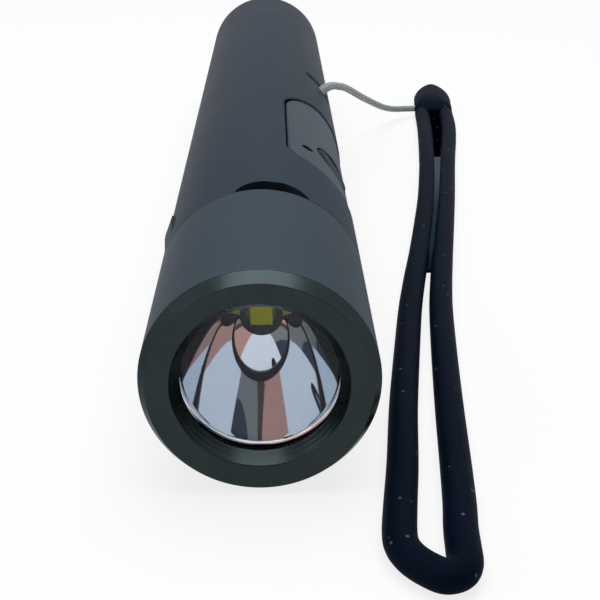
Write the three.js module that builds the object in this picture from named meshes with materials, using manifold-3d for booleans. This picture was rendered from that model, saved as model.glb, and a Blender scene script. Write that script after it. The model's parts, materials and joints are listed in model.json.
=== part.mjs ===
// Multifunction flashlight: a plain aluminium tube torch with a head that slides forward
// off a hidden charging port, a side button pad, a screw-on tail cap and a wrist strap.
// Units are millimetres. The torch lies along Y with its lens towards -Y, on the plane Z = 0.
import * as THREE from 'three';
import { mergeVertices } from 'three/addons/utils/BufferGeometryUtils.js';
import Module from 'manifold-3d';

// Driving dimensions
const BODY_D = 24; // head and body share one diameter
const LENGTH = 167; // front rim to tail face
const SIDES = 48; // facets round the outer tubes
const CORE_SIDES = 32; // facets round the inner pieces
const FIT = 0.3; // clearance between neighbouring pieces
const SEAM = 0.3; // open line where two outer pieces butt

const HEAD_LEN = 25.6; // front rim to the rear edge of the head
const HEAD_TRAVEL = 8; // forward slide of the head
const SLEEVE_WALL = 1.3; // head sleeve where it bears on the neck
const NECK_WALL = 1.4;
const LAND_STEP = 0.4; // the sleeve's bore is this much wider ahead of the land that bears on the neck
const NECK_GAP = 1; // bezel's skirt to the front of the neck
const STOP_T = 1; // snap ring at the front of the neck
const STOP_LIP = 0.55; // how far the snap ring stands out of the neck
const STOP_BITE = 0.4; // how deep it sits in its groove

const RIM_CHAMFER = 1.7; // axial length of the outer chamfer
const RIM_CHAMFER_W = 0.86; // radial width of the outer chamfer
const FACE_W = 2.24; // radial width of the front face
const FACE_DISH = 0.5; // fall of the face towards the lens
const BEVEL_W = 0.98; // radial width of the inner bevel
const BEVEL_DEPTH = 1.46;
const BEZEL_LIP = 0.3; // straight edge behind the bevel
const SKIRT_END = 8; // front rim to the rear end of the bezel's threaded skirt
const LENS_T = 1.0;
const LENS_LIP = 1.5; // part of the lens that is hidden under the bezel
const GASKET_T = 0.7;
const GASKET_W = 1.2;

const LED_SETBACK = 7.9; // light chip ahead of the head's rear edge
const MIRROR_RIM = 0.05; // the mirror is this much wider than the clear window, in radius
const MIRROR_HOLE_D = 4.8;
const MIRROR_WALL = 0.9;
const MIRROR_FLANGE_T = 0.8;
const CHIP = 2.2; // side of the square light chip
const CHIP_T = 0.25;
const PACKAGE = 2.6; // side of the chip's ceramic base
const PACKAGE_T = 0.6;
const STACK_GAP = 0.1; // glue line between chip, base and board
const CENTRING_D = 6.4; // outer diameter of the centring ring round the chip
const LED_BOARD_T = 1.2;
const SINK_T = 2;
const WIRE_D = 1;
const WIRE_OFFSET = 5; // wires from the axis, sideways
const WIRE_DROP = 4; // wires below the axis

const PORT_ANGLE = 6.2; // degrees from the top towards +X
const PORT_W = 8.94; // charging socket shell
const PORT_H = 3.2;
const PORT_SHELL = 0.3;
const PORT_DEPTH = 7;
const TONGUE_W = 6.6;
const TONGUE_T = 0.7;
const TONGUE_LEN = 4.6;
const DRIVER_T = 1.2;
const NOTCH_W = 8.2; // relief in the tube's front edge
const NOTCH_DEPTH = 3.1;
const NOTCH_R = 2.4;
const ROUND_END = 0.98; // corner radius of a pill outline as a share of its half width

const PAD_ANGLE = 57; // middle of the button pad, degrees from the top towards +X
const PAD_START = 15.7; // head edge to the front of the pad
const PAD_LEN = 34.6;
const PAD_W = 15.5; // straight width of the pad's outline
const PAD_FRONT_R = 4.5;
const PAD_REAR_R = 7;
const PAD_T = 0.75;
const PAD_SUNK = 0.25; // pad below the tube's surface
const BUTTON_AT = 10.2; // front of the pad to the middle of the button
const BUTTON_D = 6.8;
const BUTTON_TRAVEL = 0.6;
const BUTTON_SUNK = 0.35; // button's crown below the tube's surface
const FLANGE_LIP = 0.9; // flange that keeps the button in
const FLANGE_T = 0.45;
const LIGHT_AT = 7.4; // front of the pad to the status light
const LIGHT_SIDE = -5.2; // status light across the pad
const LIGHT_D = 1.4;

const BODY_WALL = 2.55; // leaves a bore for a cell 18.2 mm across
const CELL_LEN = 65; // with the raised terminal
const CELL_CLEAR = 0.35; // cell to tube, in radius
const TERMINAL_D = 5.6;
const TERMINAL_T = 1.5;
const CONTACT_D = 5;
const CONTACT_T = 1.4;
const BULKHEAD_T = 2.2;
const BOARD_T = 1.2;
const CARRIER_WALL = 1.7;
const CARRIER_GAP = 2; // neck to the board carrier
const BOARD_MARGIN = 1; // carrier's end to the board's end
const BOARD_R = 1;
const SWITCH_SIDE = 6;
const SWITCH_T = 2.85;
const SMALL_R = 0.1; // broken edge of small moulded pieces
const STEM_D = 3;
const STEM_LEN = 0.8;
const SCREW_D = 1.6;
const SCREW_HEAD_D = 2.8;
const SCREW_HEAD_T = 0.8;
const SCREW_LEN = 3.4;
const SCREW_INSET = 3.5; // screw from the end of the main board
const POST_D = 4;

const TAIL_LEN = 16.2; // visible length of the tail cap
const TAIL_GRIP = 9.7; // threaded spigot inside the tube
const TAIL_CHAMFER = 0.8;
const END_WALL = 3;
const MAGNET_D = 14;
const MAGNET_T = 4.6;
const TAIL_PLATE_T = 1.2;
const SPIGOT_WALL = 0.95;
const TAIL_BACK = 4.5; // the cell ends this far ahead of the cap's seam
const RING_T = 1.3; // O-ring section along the axis
const RING_DEPTH = 0.5; // groove depth of the O-rings
const SEAL_INSET = 2; // seam to the tail seal
const SPRING_D = 11; // wide end of the tail spring
const SPRING_TIP_D = 6;
const SPRING_WIRE = 0.9;
const SPRING_TURNS = 4;

const LANYARD_AT = 72.2; // head edge to the middle of the lanyard slot
const LANYARD_W = 3.6;
const LANYARD_ARC = 40; // degrees
const LANYARD_DEPTH = 2;
const ANCHOR_SUNK = 0.6; // anchor below the tube's surface
const TETHER_D = 1.3;
const STRAP_D = 3.1;
const TAB_LEN = 20;
const TAB_W = 9;
const TAB_T = 4.4;
const WEB_ROOT_W = 2.2; // thin web between the strap's legs
const WEB_TIP_W = 0.8;
const WEB_LEN = 22;
const WEB_T = 0.8;

const RIB_ANGLE = -70; // low wedge on the far side of the tube
const RIB_START = 5.5; // head edge to the thin end of the wedge
const RIB_LEN = 8.6;
const RIB_W = 2.6;
const RIB_H = 0.3;
const RIB_RISE = 0.75; // share of the wedge's length that rises

// Radii worked out from the driving dimensions
const bodyR = BODY_D / 2;
const landBore = bodyR - SLEEVE_WALL;
const neckR = landBore - FIT;
const neckBore = neckR - NECK_WALL;
const sleeveBore = landBore + LAND_STEP;
const rimR = bodyR - RIM_CHAMFER_W;
const faceInnerR = rimR - FACE_W;
const windowR = faceInnerR - BEVEL_W;
const lensR = windowR + LENS_LIP;
const skirtBore = lensR + FIT;
const skirtR = sleeveBore - FIT;
const coreR = neckBore - FIT;
const tubeBore = bodyR - BODY_WALL;
const cellR = tubeBore - CELL_CLEAR;
const carrierR = tubeBore - FIT;
const pocketR = bodyR - PAD_SUNK - PAD_T - FIT;
const spigotR = tubeBore + SPIGOT_WALL;
const axisHeight = bodyR * Math.cos(Math.PI / SIDES);
const portMouth = Math.sqrt(neckR ** 2 - (PORT_W / 2) ** 2) - FIT;
const portBottom = portMouth - PORT_DEPTH;

// Stations along the axis, measured back from the front rim
const bezelBack = FACE_DISH + BEVEL_DEPTH + BEZEL_LIP;
const gasketFront = bezelBack + FIT / 2;
const lensFront = gasketFront + GASKET_T + FIT / 2;
const mirrorFront = lensFront + LENS_T + FIT;
const chipFront = HEAD_LEN - LED_SETBACK;
const mirrorBack = chipFront - 2 * STACK_GAP;
const neckFront = SKIRT_END + NECK_GAP;
const stopFront = neckFront + 1.5 * FIT;
const landFront = stopFront + STOP_T + HEAD_TRAVEL + FIT / 3;
const landBack = HEAD_LEN - SEAM / 2;
const slideGroove = landFront + (landBack - landFront) / 4;
const packageFront = chipFront + CHIP_T + STACK_GAP;
const ledBoardFront = packageFront + PACKAGE_T + STACK_GAP;
const sinkFront = ledBoardFront + LED_BOARD_T + FIT;
const portFront = sinkFront + SINK_T + FIT;
const portMiddle = portFront + PORT_H / 2;
const driverFront = portFront + PORT_H + FIT;
const padFront = HEAD_LEN + PAD_START;
const padBack = padFront + PAD_LEN;
const neckBack = padFront - 4 * FIT;
const tailSeam = LENGTH - TAIL_LEN;
const cellBack = tailSeam - TAIL_BACK;
const cellFront = cellBack - CELL_LEN;
const contactFront = cellFront - FIT - CONTACT_T;
const bulkheadFront = contactFront - FIT - BULKHEAD_T;
const carrierFront = neckBack + CARRIER_GAP;
const carrierBack = bulkheadFront - FIT;
const boardFront = carrierFront + BOARD_MARGIN;
const boardBack = carrierBack - BOARD_MARGIN;
const buttonAt = padFront + BUTTON_AT;
const lightAt = padFront + LIGHT_AT;
const lanyardAt = HEAD_LEN + LANYARD_AT;
const magnetFront = LENGTH - END_WALL - MAGNET_T - FIT;
const tailPlateFront = magnetFront - FIT - TAIL_PLATE_T - FIT;
const tailFloor = tailPlateFront + TAIL_PLATE_T + FIT;

// Solid modelling helpers
const wasm = await Module();
wasm.setup();

// Merge shared corners, drop collapsed triangles and turn every face outwards.
function closed(geometry) {
  const bare = geometry.clone();
  bare.deleteAttribute('normal');
  bare.deleteAttribute('uv');
  const merged = mergeVertices(bare, 1e-4);
  const place = merged.getAttribute('position');
  const corner = (i) => new THREE.Vector3().fromBufferAttribute(place, i);
  const faces = [];
  let volume = 0;
  for (let i = 0; i < merged.index.count; i += 3) {
    const [a, b, c] = [0, 1, 2].map((k) => merged.index.getX(i + k));
    if (a === b || b === c || c === a) continue;
    faces.push([a, b, c]);
    volume += corner(a).dot(corner(b).cross(corner(c)));
  }
  const turned = volume < 0 ? faces.map(([a, b, c]) => [a, c, b]) : faces;
  merged.setIndex(turned.flat());
  return merged;
}

function toManifold(geometry) {
  const tidy = closed(geometry);
  const vertProperties = new Float32Array(tidy.getAttribute('position').array);
  const triVerts = new Uint32Array(tidy.index.array);
  return new wasm.Manifold(new wasm.Mesh({ numProp: 3, vertProperties, triVerts }));
}

function fromManifold(solid) {
  const mesh = solid.getMesh();
  const geometry = new THREE.BufferGeometry();
  geometry.setAttribute('position', new THREE.BufferAttribute(mesh.vertProperties, 3));
  geometry.setIndex(new THREE.BufferAttribute(mesh.triVerts, 1));
  return geometry;
}

// A station behind the front rim as a Y coordinate.
const along = (station) => station - LENGTH / 2;

// Turn a closed outline of [radius, station] pairs about the torch's axis, with a flat facet below.
function turn(outline, sides = SIDES) {
  const points = outline.map(([r, station]) => new THREE.Vector2(r, along(station)));
  points.push(points[0].clone());
  return closed(new THREE.LatheGeometry(points, sides, Math.PI / sides, 2 * Math.PI));
}

const ring = (inner, outer, front, back, sides) =>
  turn([[inner, front], [outer, front], [outer, back], [inner, back]], sides);

const disc = (radius, front, back, sides) => ring(0, radius, front, back, sides);

// Extrude an outline drawn in the tangent plane, X across and Y along, between two radial heights.
function radialPrism(shape, low, high, angle) {
  const depth = high - low;
  const geometry = new THREE.ExtrudeGeometry(shape, { depth, bevelEnabled: false, curveSegments: 6 });
  geometry.translate(0, 0, low);
  geometry.rotateY(THREE.MathUtils.degToRad(angle));
  return geometry;
}

// Outline with round corners, a front radius and a rear radius, between two stations.
function roundedShape(width, front, back, frontR, rearR) {
  const half = width / 2;
  const [y0, y1] = [along(front), along(back)];
  const shape = new THREE.Shape();
  shape.moveTo(-half + frontR, y0);
  shape.lineTo(half - frontR, y0);
  shape.absarc(half - frontR, y0 + frontR, frontR, -Math.PI / 2, 0);
  shape.lineTo(half, y1 - rearR);
  shape.absarc(half - rearR, y1 - rearR, rearR, 0, Math.PI / 2);
  shape.lineTo(-half + rearR, y1);
  shape.absarc(-half + rearR, y1 - rearR, rearR, Math.PI / 2, Math.PI);
  shape.lineTo(-half, y0 + frontR);
  shape.absarc(-half + frontR, y0 + frontR, frontR, Math.PI, 1.5 * Math.PI);
  return shape;
}

function circleShape(diameter, station, across = 0) {
  const shape = new THREE.Shape();
  shape.absarc(across, along(station), diameter / 2, 0, 2 * Math.PI);
  return shape;
}

const peg = (diameter, station, low, high, angle, across = 0) =>
  toManifold(radialPrism(circleShape(diameter, station, across), low, high, angle));

// The torch and its strap
const torch = new THREE.Group();
torch.position.z = axisHeight;
const strap = new THREE.Group();
const flashlight = new THREE.Group();
flashlight.add(torch, strap);

const finish = (color, roughness, metalness) =>
  new THREE.MeshStandardMaterial({ color, roughness, metalness });
const anodised = () => finish(0x434b52, 0.5, 0.8);
const blackRubber = () => finish(0x15171a, 0.8, 0);
const blackPlastic = () => finish(0x1b1d20, 0.6, 0);
const bareSteel = () => finish(0xb4b8bc, 0.3, 1);
const brass = () => finish(0xc3a053, 0.35, 1);
const boardGreen = () => finish(0x1f5136, 0.6, 0);

function add(group, name, geometry, material) {
  const mesh = new THREE.Mesh(geometry, material);
  mesh.name = name;
  group.add(mesh);
}

// Head: sleeve, bezel, lens and mirror slide forward together
function headSleeve() {
  const front = RIM_CHAMFER + SEAM / 2;
  const grooveBack = slideGroove + RING_T + FIT;
  const grooveR = landBore + RING_DEPTH;
  return turn([
    [bodyR, front], [bodyR, landBack], [landBore, landBack],
    [landBore, grooveBack], [grooveR, grooveBack], [grooveR, slideGroove], [landBore, slideGroove],
    [landBore, landFront], [sleeveBore, landFront], [sleeveBore, front],
  ]);
}

function slideSeal() {
  const front = slideGroove + FIT / 2;
  return ring(neckR + FIT / 3, landBore + RING_DEPTH - FIT / 3, front, front + RING_T);
}

function bezelRing() {
  const shoulder = RIM_CHAMFER - SEAM / 2;
  return turn([
    [windowR, bezelBack], [windowR, FACE_DISH + BEVEL_DEPTH], [faceInnerR, FACE_DISH], [rimR, 0],
    [bodyR, shoulder], [skirtR, shoulder], [skirtR, SKIRT_END], [skirtBore, SKIRT_END],
    [skirtBore, bezelBack],
  ]);
}

function reflector() {
  const rim = windowR + MIRROR_RIM;
  const hole = MIRROR_HOLE_D / 2;
  const steps = 8;
  const inside = [];
  const outside = [];
  for (let i = 0; i <= steps; i += 1) {
    const station = mirrorFront + ((mirrorBack - mirrorFront) * i) / steps;
    const share = (mirrorBack - station) / (mirrorBack - mirrorFront);
    const radius = Math.sqrt(hole ** 2 + (rim ** 2 - hole ** 2) * share);
    inside.push([radius, station]);
    if (station > mirrorFront + MIRROR_FLANGE_T) outside.push([radius + MIRROR_WALL, station]);
  }
  const first = outside[0];
  const flangeBack = mirrorFront + MIRROR_FLANGE_T;
  return turn([
    ...inside, ...outside.reverse(), [first[0], flangeBack], [lensR, flangeBack], [lensR, mirrorFront],
  ], CORE_SIDES);
}

add(torch, 'head_sleeve', headSleeve(), anodised());
add(torch, 'bezel_ring', bezelRing(), finish(0x3a423f, 0.45, 0.8));
const gasketInner = lensR - GASKET_W;
add(torch, 'lens_gasket', ring(gasketInner, lensR, gasketFront, gasketFront + GASKET_T), blackRubber());
add(torch, 'lens', disc(lensR, lensFront, lensFront + LENS_T), finish(0xe8eef2, 0.02, 0));
add(torch, 'reflector', reflector(), finish(0xd8dde2, 0.05, 1));
add(torch, 'slide_seal', slideSeal(), blackRubber());

// Light engine on the front of the neck
function ledBoard() {
  return disc(coreR, ledBoardFront, ledBoardFront + LED_BOARD_T, CORE_SIDES);
}

function wireHoles() {
  const span = SINK_T + 2;
  const hole = new THREE.CylinderGeometry(WIRE_D / 2 + FIT, WIRE_D / 2 + FIT, span, 12);
  hole.translate(WIRE_OFFSET, along(sinkFront + SINK_T / 2), -WIRE_DROP);
  const other = hole.clone().translate(-2 * WIRE_OFFSET, 0, 0);
  return toManifold(hole).add(toManifold(other));
}

function heatSink() {
  const plate = disc(coreR, sinkFront, sinkFront + SINK_T, CORE_SIDES);
  return fromManifold(toManifold(plate).subtract(wireHoles()));
}

function ledWire(side) {
  const front = ledBoardFront + LED_BOARD_T + FIT / 2;
  const span = driverFront - FIT / 2 - front;
  const wire = new THREE.CylinderGeometry(WIRE_D / 2, WIRE_D / 2, span, 8);
  wire.translate(side * WIRE_OFFSET, along(front + span / 2), -WIRE_DROP);
  return closed(wire);
}

function squareChip(side, front, thickness) {
  const box = new THREE.BoxGeometry(side, thickness, side);
  box.translate(0, along(front + thickness / 2), 0);
  return closed(box);
}

const centringInner = PACKAGE / Math.SQRT2 + FIT / 2;
const centringFront = mirrorBack + FIT;
add(torch, 'led_phosphor', squareChip(CHIP, chipFront, CHIP_T), finish(0xb7b429, 0.6, 0));
add(torch, 'led_package', squareChip(PACKAGE, packageFront, PACKAGE_T), finish(0xd9d9d2, 0.5, 0));
add(torch, 'led_centring_ring',
  ring(centringInner, CENTRING_D / 2, centringFront, ledBoardFront - STACK_GAP, CORE_SIDES),
  finish(0x8b9096, 0.6, 0));
add(torch, 'led_board', ledBoard(), finish(0xe6e6e2, 0.5, 0));
add(torch, 'heat_sink', heatSink(), finish(0xb9a06a, 0.4, 1));
add(torch, 'led_wire_positive', ledWire(1), finish(0xa3231f, 0.5, 0));
add(torch, 'led_wire_negative', ledWire(-1), blackPlastic());

// Neck: inner tube that carries the light engine and guides the head
function portShape(width, height, middle) {
  const corner = (height / 2) * ROUND_END;
  return roundedShape(width, middle - height / 2, middle + height / 2, corner, corner);
}

function neckTube() {
  const groove = neckFront + FIT;
  const tube = turn([
    [neckBore, neckFront], [neckR, neckFront], [neckR, groove],
    [neckR - STOP_BITE, groove], [neckR - STOP_BITE, groove + STOP_T + FIT], [neckR, groove + STOP_T + FIT],
    [neckR, neckBack], [neckBore, neckBack],
  ]);
  const window = portShape(PORT_W + 2 * FIT, PORT_H + 2 * FIT, portMiddle);
  return fromManifold(toManifold(tube).subtract(toManifold(radialPrism(window, 0, bodyR, PORT_ANGLE))));
}

function stopRing() {
  return ring(neckR - STOP_BITE + FIT / 2, neckR + STOP_LIP, stopFront, stopFront + STOP_T);
}

function portShell() {
  const outer = radialPrism(portShape(PORT_W, PORT_H, portMiddle), portBottom, portMouth, PORT_ANGLE);
  const inner = portShape(PORT_W - 2 * PORT_SHELL, PORT_H - 2 * PORT_SHELL, portMiddle);
  const cavity = radialPrism(inner, portBottom + 2 * PORT_SHELL, bodyR, PORT_ANGLE);
  return fromManifold(toManifold(outer).subtract(toManifold(cavity)));
}

function portTongue() {
  const low = portBottom + 2 * PORT_SHELL + STACK_GAP;
  const [front, back] = [portMiddle - TONGUE_T / 2, portMiddle + TONGUE_T / 2];
  const shape = roundedShape(TONGUE_W, front, back, SMALL_R, SMALL_R);
  return closed(radialPrism(shape, low, low + TONGUE_LEN, PORT_ANGLE));
}

add(torch, 'neck_tube', neckTube(), finish(0x1d2023, 0.55, 0.5));
add(torch, 'stop_ring', stopRing(), bareSteel());
add(torch, 'charging_socket', portShell(), bareSteel());
add(torch, 'socket_tongue', portTongue(), blackPlastic());
add(torch, 'driver_board', disc(coreR, driverFront, driverFront + DRIVER_T, CORE_SIDES), boardGreen());

// Body tube with its notch, button pocket and lanyard slot
function lanyardShape(grow) {
  const half = bodyR * Math.sin(THREE.MathUtils.degToRad(LANYARD_ARC / 2)) + grow;
  const reach = LANYARD_W / 2 + grow;
  const corner = reach * ROUND_END;
  return roundedShape(2 * half, lanyardAt - reach, lanyardAt + reach, corner, corner);
}

function padShape(grow) {
  const [front, back] = [padFront - grow, padBack + grow];
  return roundedShape(PAD_W + 2 * grow, front, back, PAD_FRONT_R + grow, PAD_REAR_R + grow);
}

// Everything of a prism that lies outside a given radius, so a pocket's floor follows the tube.
function pocket(shape, floorR, angle) {
  const prism = toManifold(radialPrism(shape, 0, 2 * bodyR, angle));
  return prism.subtract(toManifold(disc(floorR, 0, LENGTH)));
}

function sideRib() {
  const front = HEAD_LEN + RIB_START;
  const root = bodyR - RIB_H;
  const profile = new THREE.Shape();
  profile.moveTo(along(front), root);
  profile.lineTo(along(front + RIB_LEN), root);
  profile.lineTo(along(front + RIB_LEN), bodyR + RIB_H);
  profile.lineTo(along(front + RIB_LEN * RIB_RISE), bodyR + RIB_H);
  const wedge = new THREE.ExtrudeGeometry(profile, { depth: RIB_W, bevelEnabled: false });
  wedge.translate(0, 0, -RIB_W / 2);
  wedge.applyMatrix4(new THREE.Matrix4().makeBasis(
    new THREE.Vector3(0, 1, 0), new THREE.Vector3(0, 0, 1), new THREE.Vector3(1, 0, 0)));
  wedge.rotateY(THREE.MathUtils.degToRad(RIB_ANGLE));
  return toManifold(wedge);
}

const buttonHole = BUTTON_D + 2 * FIT;
const flangeD = BUTTON_D + 2 * FLANGE_LIP;

function bodyTube() {
  const front = HEAD_LEN + SEAM / 2;
  const back = tailSeam - SEAM / 2;
  const grip = tailSeam - TAIL_GRIP - FIT;
  const blank = turn([
    [landBore, front], [bodyR, front], [bodyR, back], [spigotR + FIT, back],
    [spigotR + FIT, grip], [tubeBore, grip], [tubeBore, neckBack + FIT], [landBore, neckBack + FIT],
  ]);
  const notch = roundedShape(NOTCH_W, front - NOTCH_DEPTH, HEAD_LEN + NOTCH_DEPTH, SMALL_R, NOTCH_R);
  const light = peg(LIGHT_D + 2 * FIT, lightAt, 0, bodyR, PAD_ANGLE, LIGHT_SIDE);
  return fromManifold(toManifold(blank)
    .add(sideRib())
    .subtract(toManifold(radialPrism(notch, 0, 2 * bodyR, PORT_ANGLE)))
    .subtract(pocket(padShape(FIT), pocketR, PAD_ANGLE))
    .subtract(peg(flangeD + 2 * FIT, buttonAt, 0, bodyR, PAD_ANGLE))
    .subtract(light)
    .subtract(pocket(lanyardShape(0), bodyR - LANYARD_DEPTH, PAD_ANGLE)));
}

// A curved plate that follows the tube, cut to an outline.
function curvedPlate(shape, innerR, outerR, front, back, angle) {
  const band = toManifold(ring(innerR, outerR, front, back));
  return band.intersect(toManifold(radialPrism(shape, 0, 2 * bodyR, angle)));
}

function buttonPad() {
  const outerR = bodyR - PAD_SUNK;
  const plate = curvedPlate(padShape(0), outerR - PAD_T, outerR, padFront - 1, padBack + 1, PAD_ANGLE);
  return fromManifold(plate
    .subtract(peg(buttonHole, buttonAt, 0, bodyR, PAD_ANGLE))
    .subtract(peg(LIGHT_D + 2 * FIT, lightAt, 0, bodyR, PAD_ANGLE, LIGHT_SIDE)));
}

function lanyardAnchor() {
  const [inner, outer] = [bodyR - LANYARD_DEPTH + FIT, bodyR - ANCHOR_SUNK];
  const [front, back] = [lanyardAt - LANYARD_W, lanyardAt + LANYARD_W];
  return fromManifold(curvedPlate(lanyardShape(-FIT), inner, outer, front, back, PAD_ANGLE));
}

add(torch, 'body_tube', bodyTube(), anodised());
add(torch, 'button_pad', buttonPad(), finish(0x4a535c, 0.6, 0));
add(torch, 'lanyard_anchor', lanyardAnchor(), blackPlastic());

// Button, its switch and the boards under the pad
const crown = bodyR - BUTTON_SUNK;
const padUnderside = Math.sqrt((pocketR + FIT) ** 2 - (flangeD / 2) ** 2);
const flangeTop = padUnderside - FIT;
const stemTop = flangeTop - FLANGE_T - FIT;
const stemBottom = stemTop - STEM_LEN;
const switchTop = stemBottom + STACK_GAP;
const switchBottom = switchTop - SWITCH_T;
const boardTop = switchBottom - FIT;
const wellFloor = stemBottom - BUTTON_TRAVEL - STACK_GAP;

function powerButton() {
  const cap = peg(BUTTON_D, buttonAt, flangeTop - FLANGE_T / 2, crown, PAD_ANGLE);
  return fromManifold(cap.add(peg(flangeD, buttonAt, flangeTop - FLANGE_T, flangeTop, PAD_ANGLE)));
}

function tactSwitch() {
  const half = SWITCH_SIDE / 2;
  const shape = roundedShape(SWITCH_SIDE, buttonAt - half, buttonAt + half, SMALL_R, SMALL_R);
  const body = toManifold(radialPrism(shape, switchBottom, switchTop, PAD_ANGLE));
  return fromManifold(body.subtract(peg(STEM_D + 2 * FIT, buttonAt, wellFloor, bodyR, PAD_ANGLE)));
}

const boardHalf = Math.sqrt(carrierR ** 2 - boardTop ** 2) - FIT;
const carrierTop = boardTop - BOARD_T - FIT;
const screwStations = [boardFront + SCREW_INSET, boardBack - SCREW_INSET];

function mainBoard() {
  const shape = roundedShape(2 * boardHalf, boardFront, boardBack, BOARD_R, BOARD_R);
  let board = toManifold(radialPrism(shape, boardTop - BOARD_T, boardTop, PAD_ANGLE));
  for (const station of screwStations) {
    board = board.subtract(peg(SCREW_D + 2 * FIT, station, 0, bodyR, PAD_ANGLE));
  }
  return fromManifold(board);
}

// Half-round trough with two screw posts.
function boardCarrier() {
  const span = carrierBack - carrierFront;
  const cut = new THREE.BoxGeometry(2 * bodyR, span + 2, bodyR);
  cut.translate(0, along((carrierFront + carrierBack) / 2), carrierTop + bodyR / 2);
  cut.rotateY(THREE.MathUtils.degToRad(PAD_ANGLE));
  const shell = ring(carrierR - CARRIER_WALL, carrierR, carrierFront, carrierBack, CORE_SIDES);
  let trough = toManifold(shell);
  for (const station of screwStations) {
    const post = peg(POST_D, station, -carrierR + CARRIER_WALL / 2, carrierTop, PAD_ANGLE);
    trough = trough.add(post);
  }
  trough = trough.subtract(toManifold(cut));
  for (const station of screwStations) {
    trough = trough.subtract(peg(SCREW_D + 2 * FIT, station, carrierTop - SCREW_LEN, bodyR, PAD_ANGLE));
  }
  return fromManifold(trough);
}

function boardScrew(station) {
  const seat = boardTop + STACK_GAP;
  const shaft = peg(SCREW_D, station, seat - SCREW_LEN, seat + SCREW_HEAD_T / 2, PAD_ANGLE);
  return fromManifold(shaft.add(peg(SCREW_HEAD_D, station, seat, seat + SCREW_HEAD_T, PAD_ANGLE)));
}

function statusLight() {
  const top = Math.sqrt((bodyR - PAD_SUNK) ** 2 - LIGHT_SIDE ** 2);
  return fromManifold(peg(LIGHT_D, lightAt, boardTop + FIT, top - FIT / 2, PAD_ANGLE, LIGHT_SIDE));
}

add(torch, 'power_button', powerButton(), finish(0x3b434a, 0.65, 0));
add(torch, 'switch_stem',
  fromManifold(peg(STEM_D, buttonAt, stemBottom, stemTop, PAD_ANGLE)), blackPlastic());
add(torch, 'tact_switch', tactSwitch(), bareSteel());
add(torch, 'main_board', mainBoard(), boardGreen());
add(torch, 'board_carrier', boardCarrier(), blackPlastic());
add(torch, 'board_screw_front', boardScrew(screwStations[0]), bareSteel());
add(torch, 'board_screw_rear', boardScrew(screwStations[1]), bareSteel());
add(torch, 'status_light', statusLight(), finish(0x23282c, 0.3, 0));

// Cell and its contacts
add(torch, 'cell_bulkhead',
  disc(carrierR, bulkheadFront, bulkheadFront + BULKHEAD_T, CORE_SIDES), blackPlastic());
add(torch, 'front_contact',
  disc(CONTACT_D / 2, contactFront, contactFront + CONTACT_T, CORE_SIDES), brass());
add(torch, 'cell_terminal',
  disc(TERMINAL_D / 2, cellFront, cellFront + TERMINAL_T - STACK_GAP, CORE_SIDES), bareSteel());
add(torch, 'battery_cell',
  disc(cellR, cellFront + TERMINAL_T, cellBack, CORE_SIDES), finish(0x2f6f8f, 0.5, 0));

// Tail cap with its seal, spring, contact plate and magnet
const sealGroove = tailSeam - RING_T - SEAL_INSET;

function tailCap() {
  const front = tailSeam + SEAM / 2;
  const groove = [sealGroove, sealGroove + RING_T + FIT];
  const pocketFloor = LENGTH - END_WALL;
  const magnetBore = MAGNET_D / 2 + FIT;
  return turn([
    [tubeBore, tailSeam - TAIL_GRIP], [spigotR, tailSeam - TAIL_GRIP],
    [spigotR, groove[0]], [spigotR - RING_DEPTH, groove[0]],
    [spigotR - RING_DEPTH, groove[1]], [spigotR, groove[1]],
    [spigotR, front], [bodyR, front], [bodyR, LENGTH - TAIL_CHAMFER], [bodyR - TAIL_CHAMFER, LENGTH],
    [0, LENGTH], [0, pocketFloor], [magnetBore, pocketFloor], [magnetBore, tailFloor],
    [tubeBore, tailFloor],
  ]);
}

function tailSeal() {
  const front = sealGroove + FIT / 2;
  return ring(spigotR - RING_DEPTH + FIT / 3, spigotR + FIT * 0.6, front, front + RING_T);
}

// Helix about the torch's axis, wide at the cell and narrow at the tail.
class TailHelix extends THREE.Curve {
  getPoint(t, target = new THREE.Vector3()) {
    const wire = SPRING_WIRE / 2;
    const from = cellBack + FIT + wire;
    const to = tailPlateFront - FIT - wire;
    const radius = (SPRING_D + (SPRING_TIP_D - SPRING_D) * t) / 2 - wire;
    const angle = 2 * Math.PI * SPRING_TURNS * t;
    return target.set(radius * Math.sin(angle), along(from + (to - from) * t), radius * Math.cos(angle));
  }
}

function tube(curve, diameter, sides, steps) {
  const section = new THREE.Shape();
  const turnBy = Math.PI / sides;
  for (let i = 0; i < sides; i += 1) {
    const angle = turnBy + (2 * Math.PI * i) / sides;
    const point = [(diameter / 2) * Math.cos(angle), (diameter / 2) * Math.sin(angle)];
    if (i === 0) section.moveTo(...point);
    else section.lineTo(...point);
  }
  return closed(new THREE.ExtrudeGeometry(section, { steps, bevelEnabled: false, extrudePath: curve }));
}

add(torch, 'tail_cap', tailCap(), anodised());
add(torch, 'tail_seal', tailSeal(), blackRubber());
add(torch, 'tail_spring', tube(new TailHelix(), SPRING_WIRE, 5, 12 * SPRING_TURNS), brass());
add(torch, 'tail_contact',
  disc(tubeBore - FIT, tailPlateFront, tailPlateFront + TAIL_PLATE_T, CORE_SIDES), boardGreen());
add(torch, 'tail_magnet', disc(MAGNET_D / 2, magnetFront, magnetFront + MAGNET_T, CORE_SIDES), bareSteel());

// Strap: a thin tether from the slot to a moulded tab, and a long silicone loop lying on the table.
// A route spaced by its chosen points, so tight bends get as many steps as long runs.
class Route extends THREE.CatmullRomCurve3 {
  getPointAt(u, target) {
    return this.getPoint(u, target);
  }

  getTangentAt(u, target) {
    return this.getTangent(u, target);
  }
}

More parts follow.
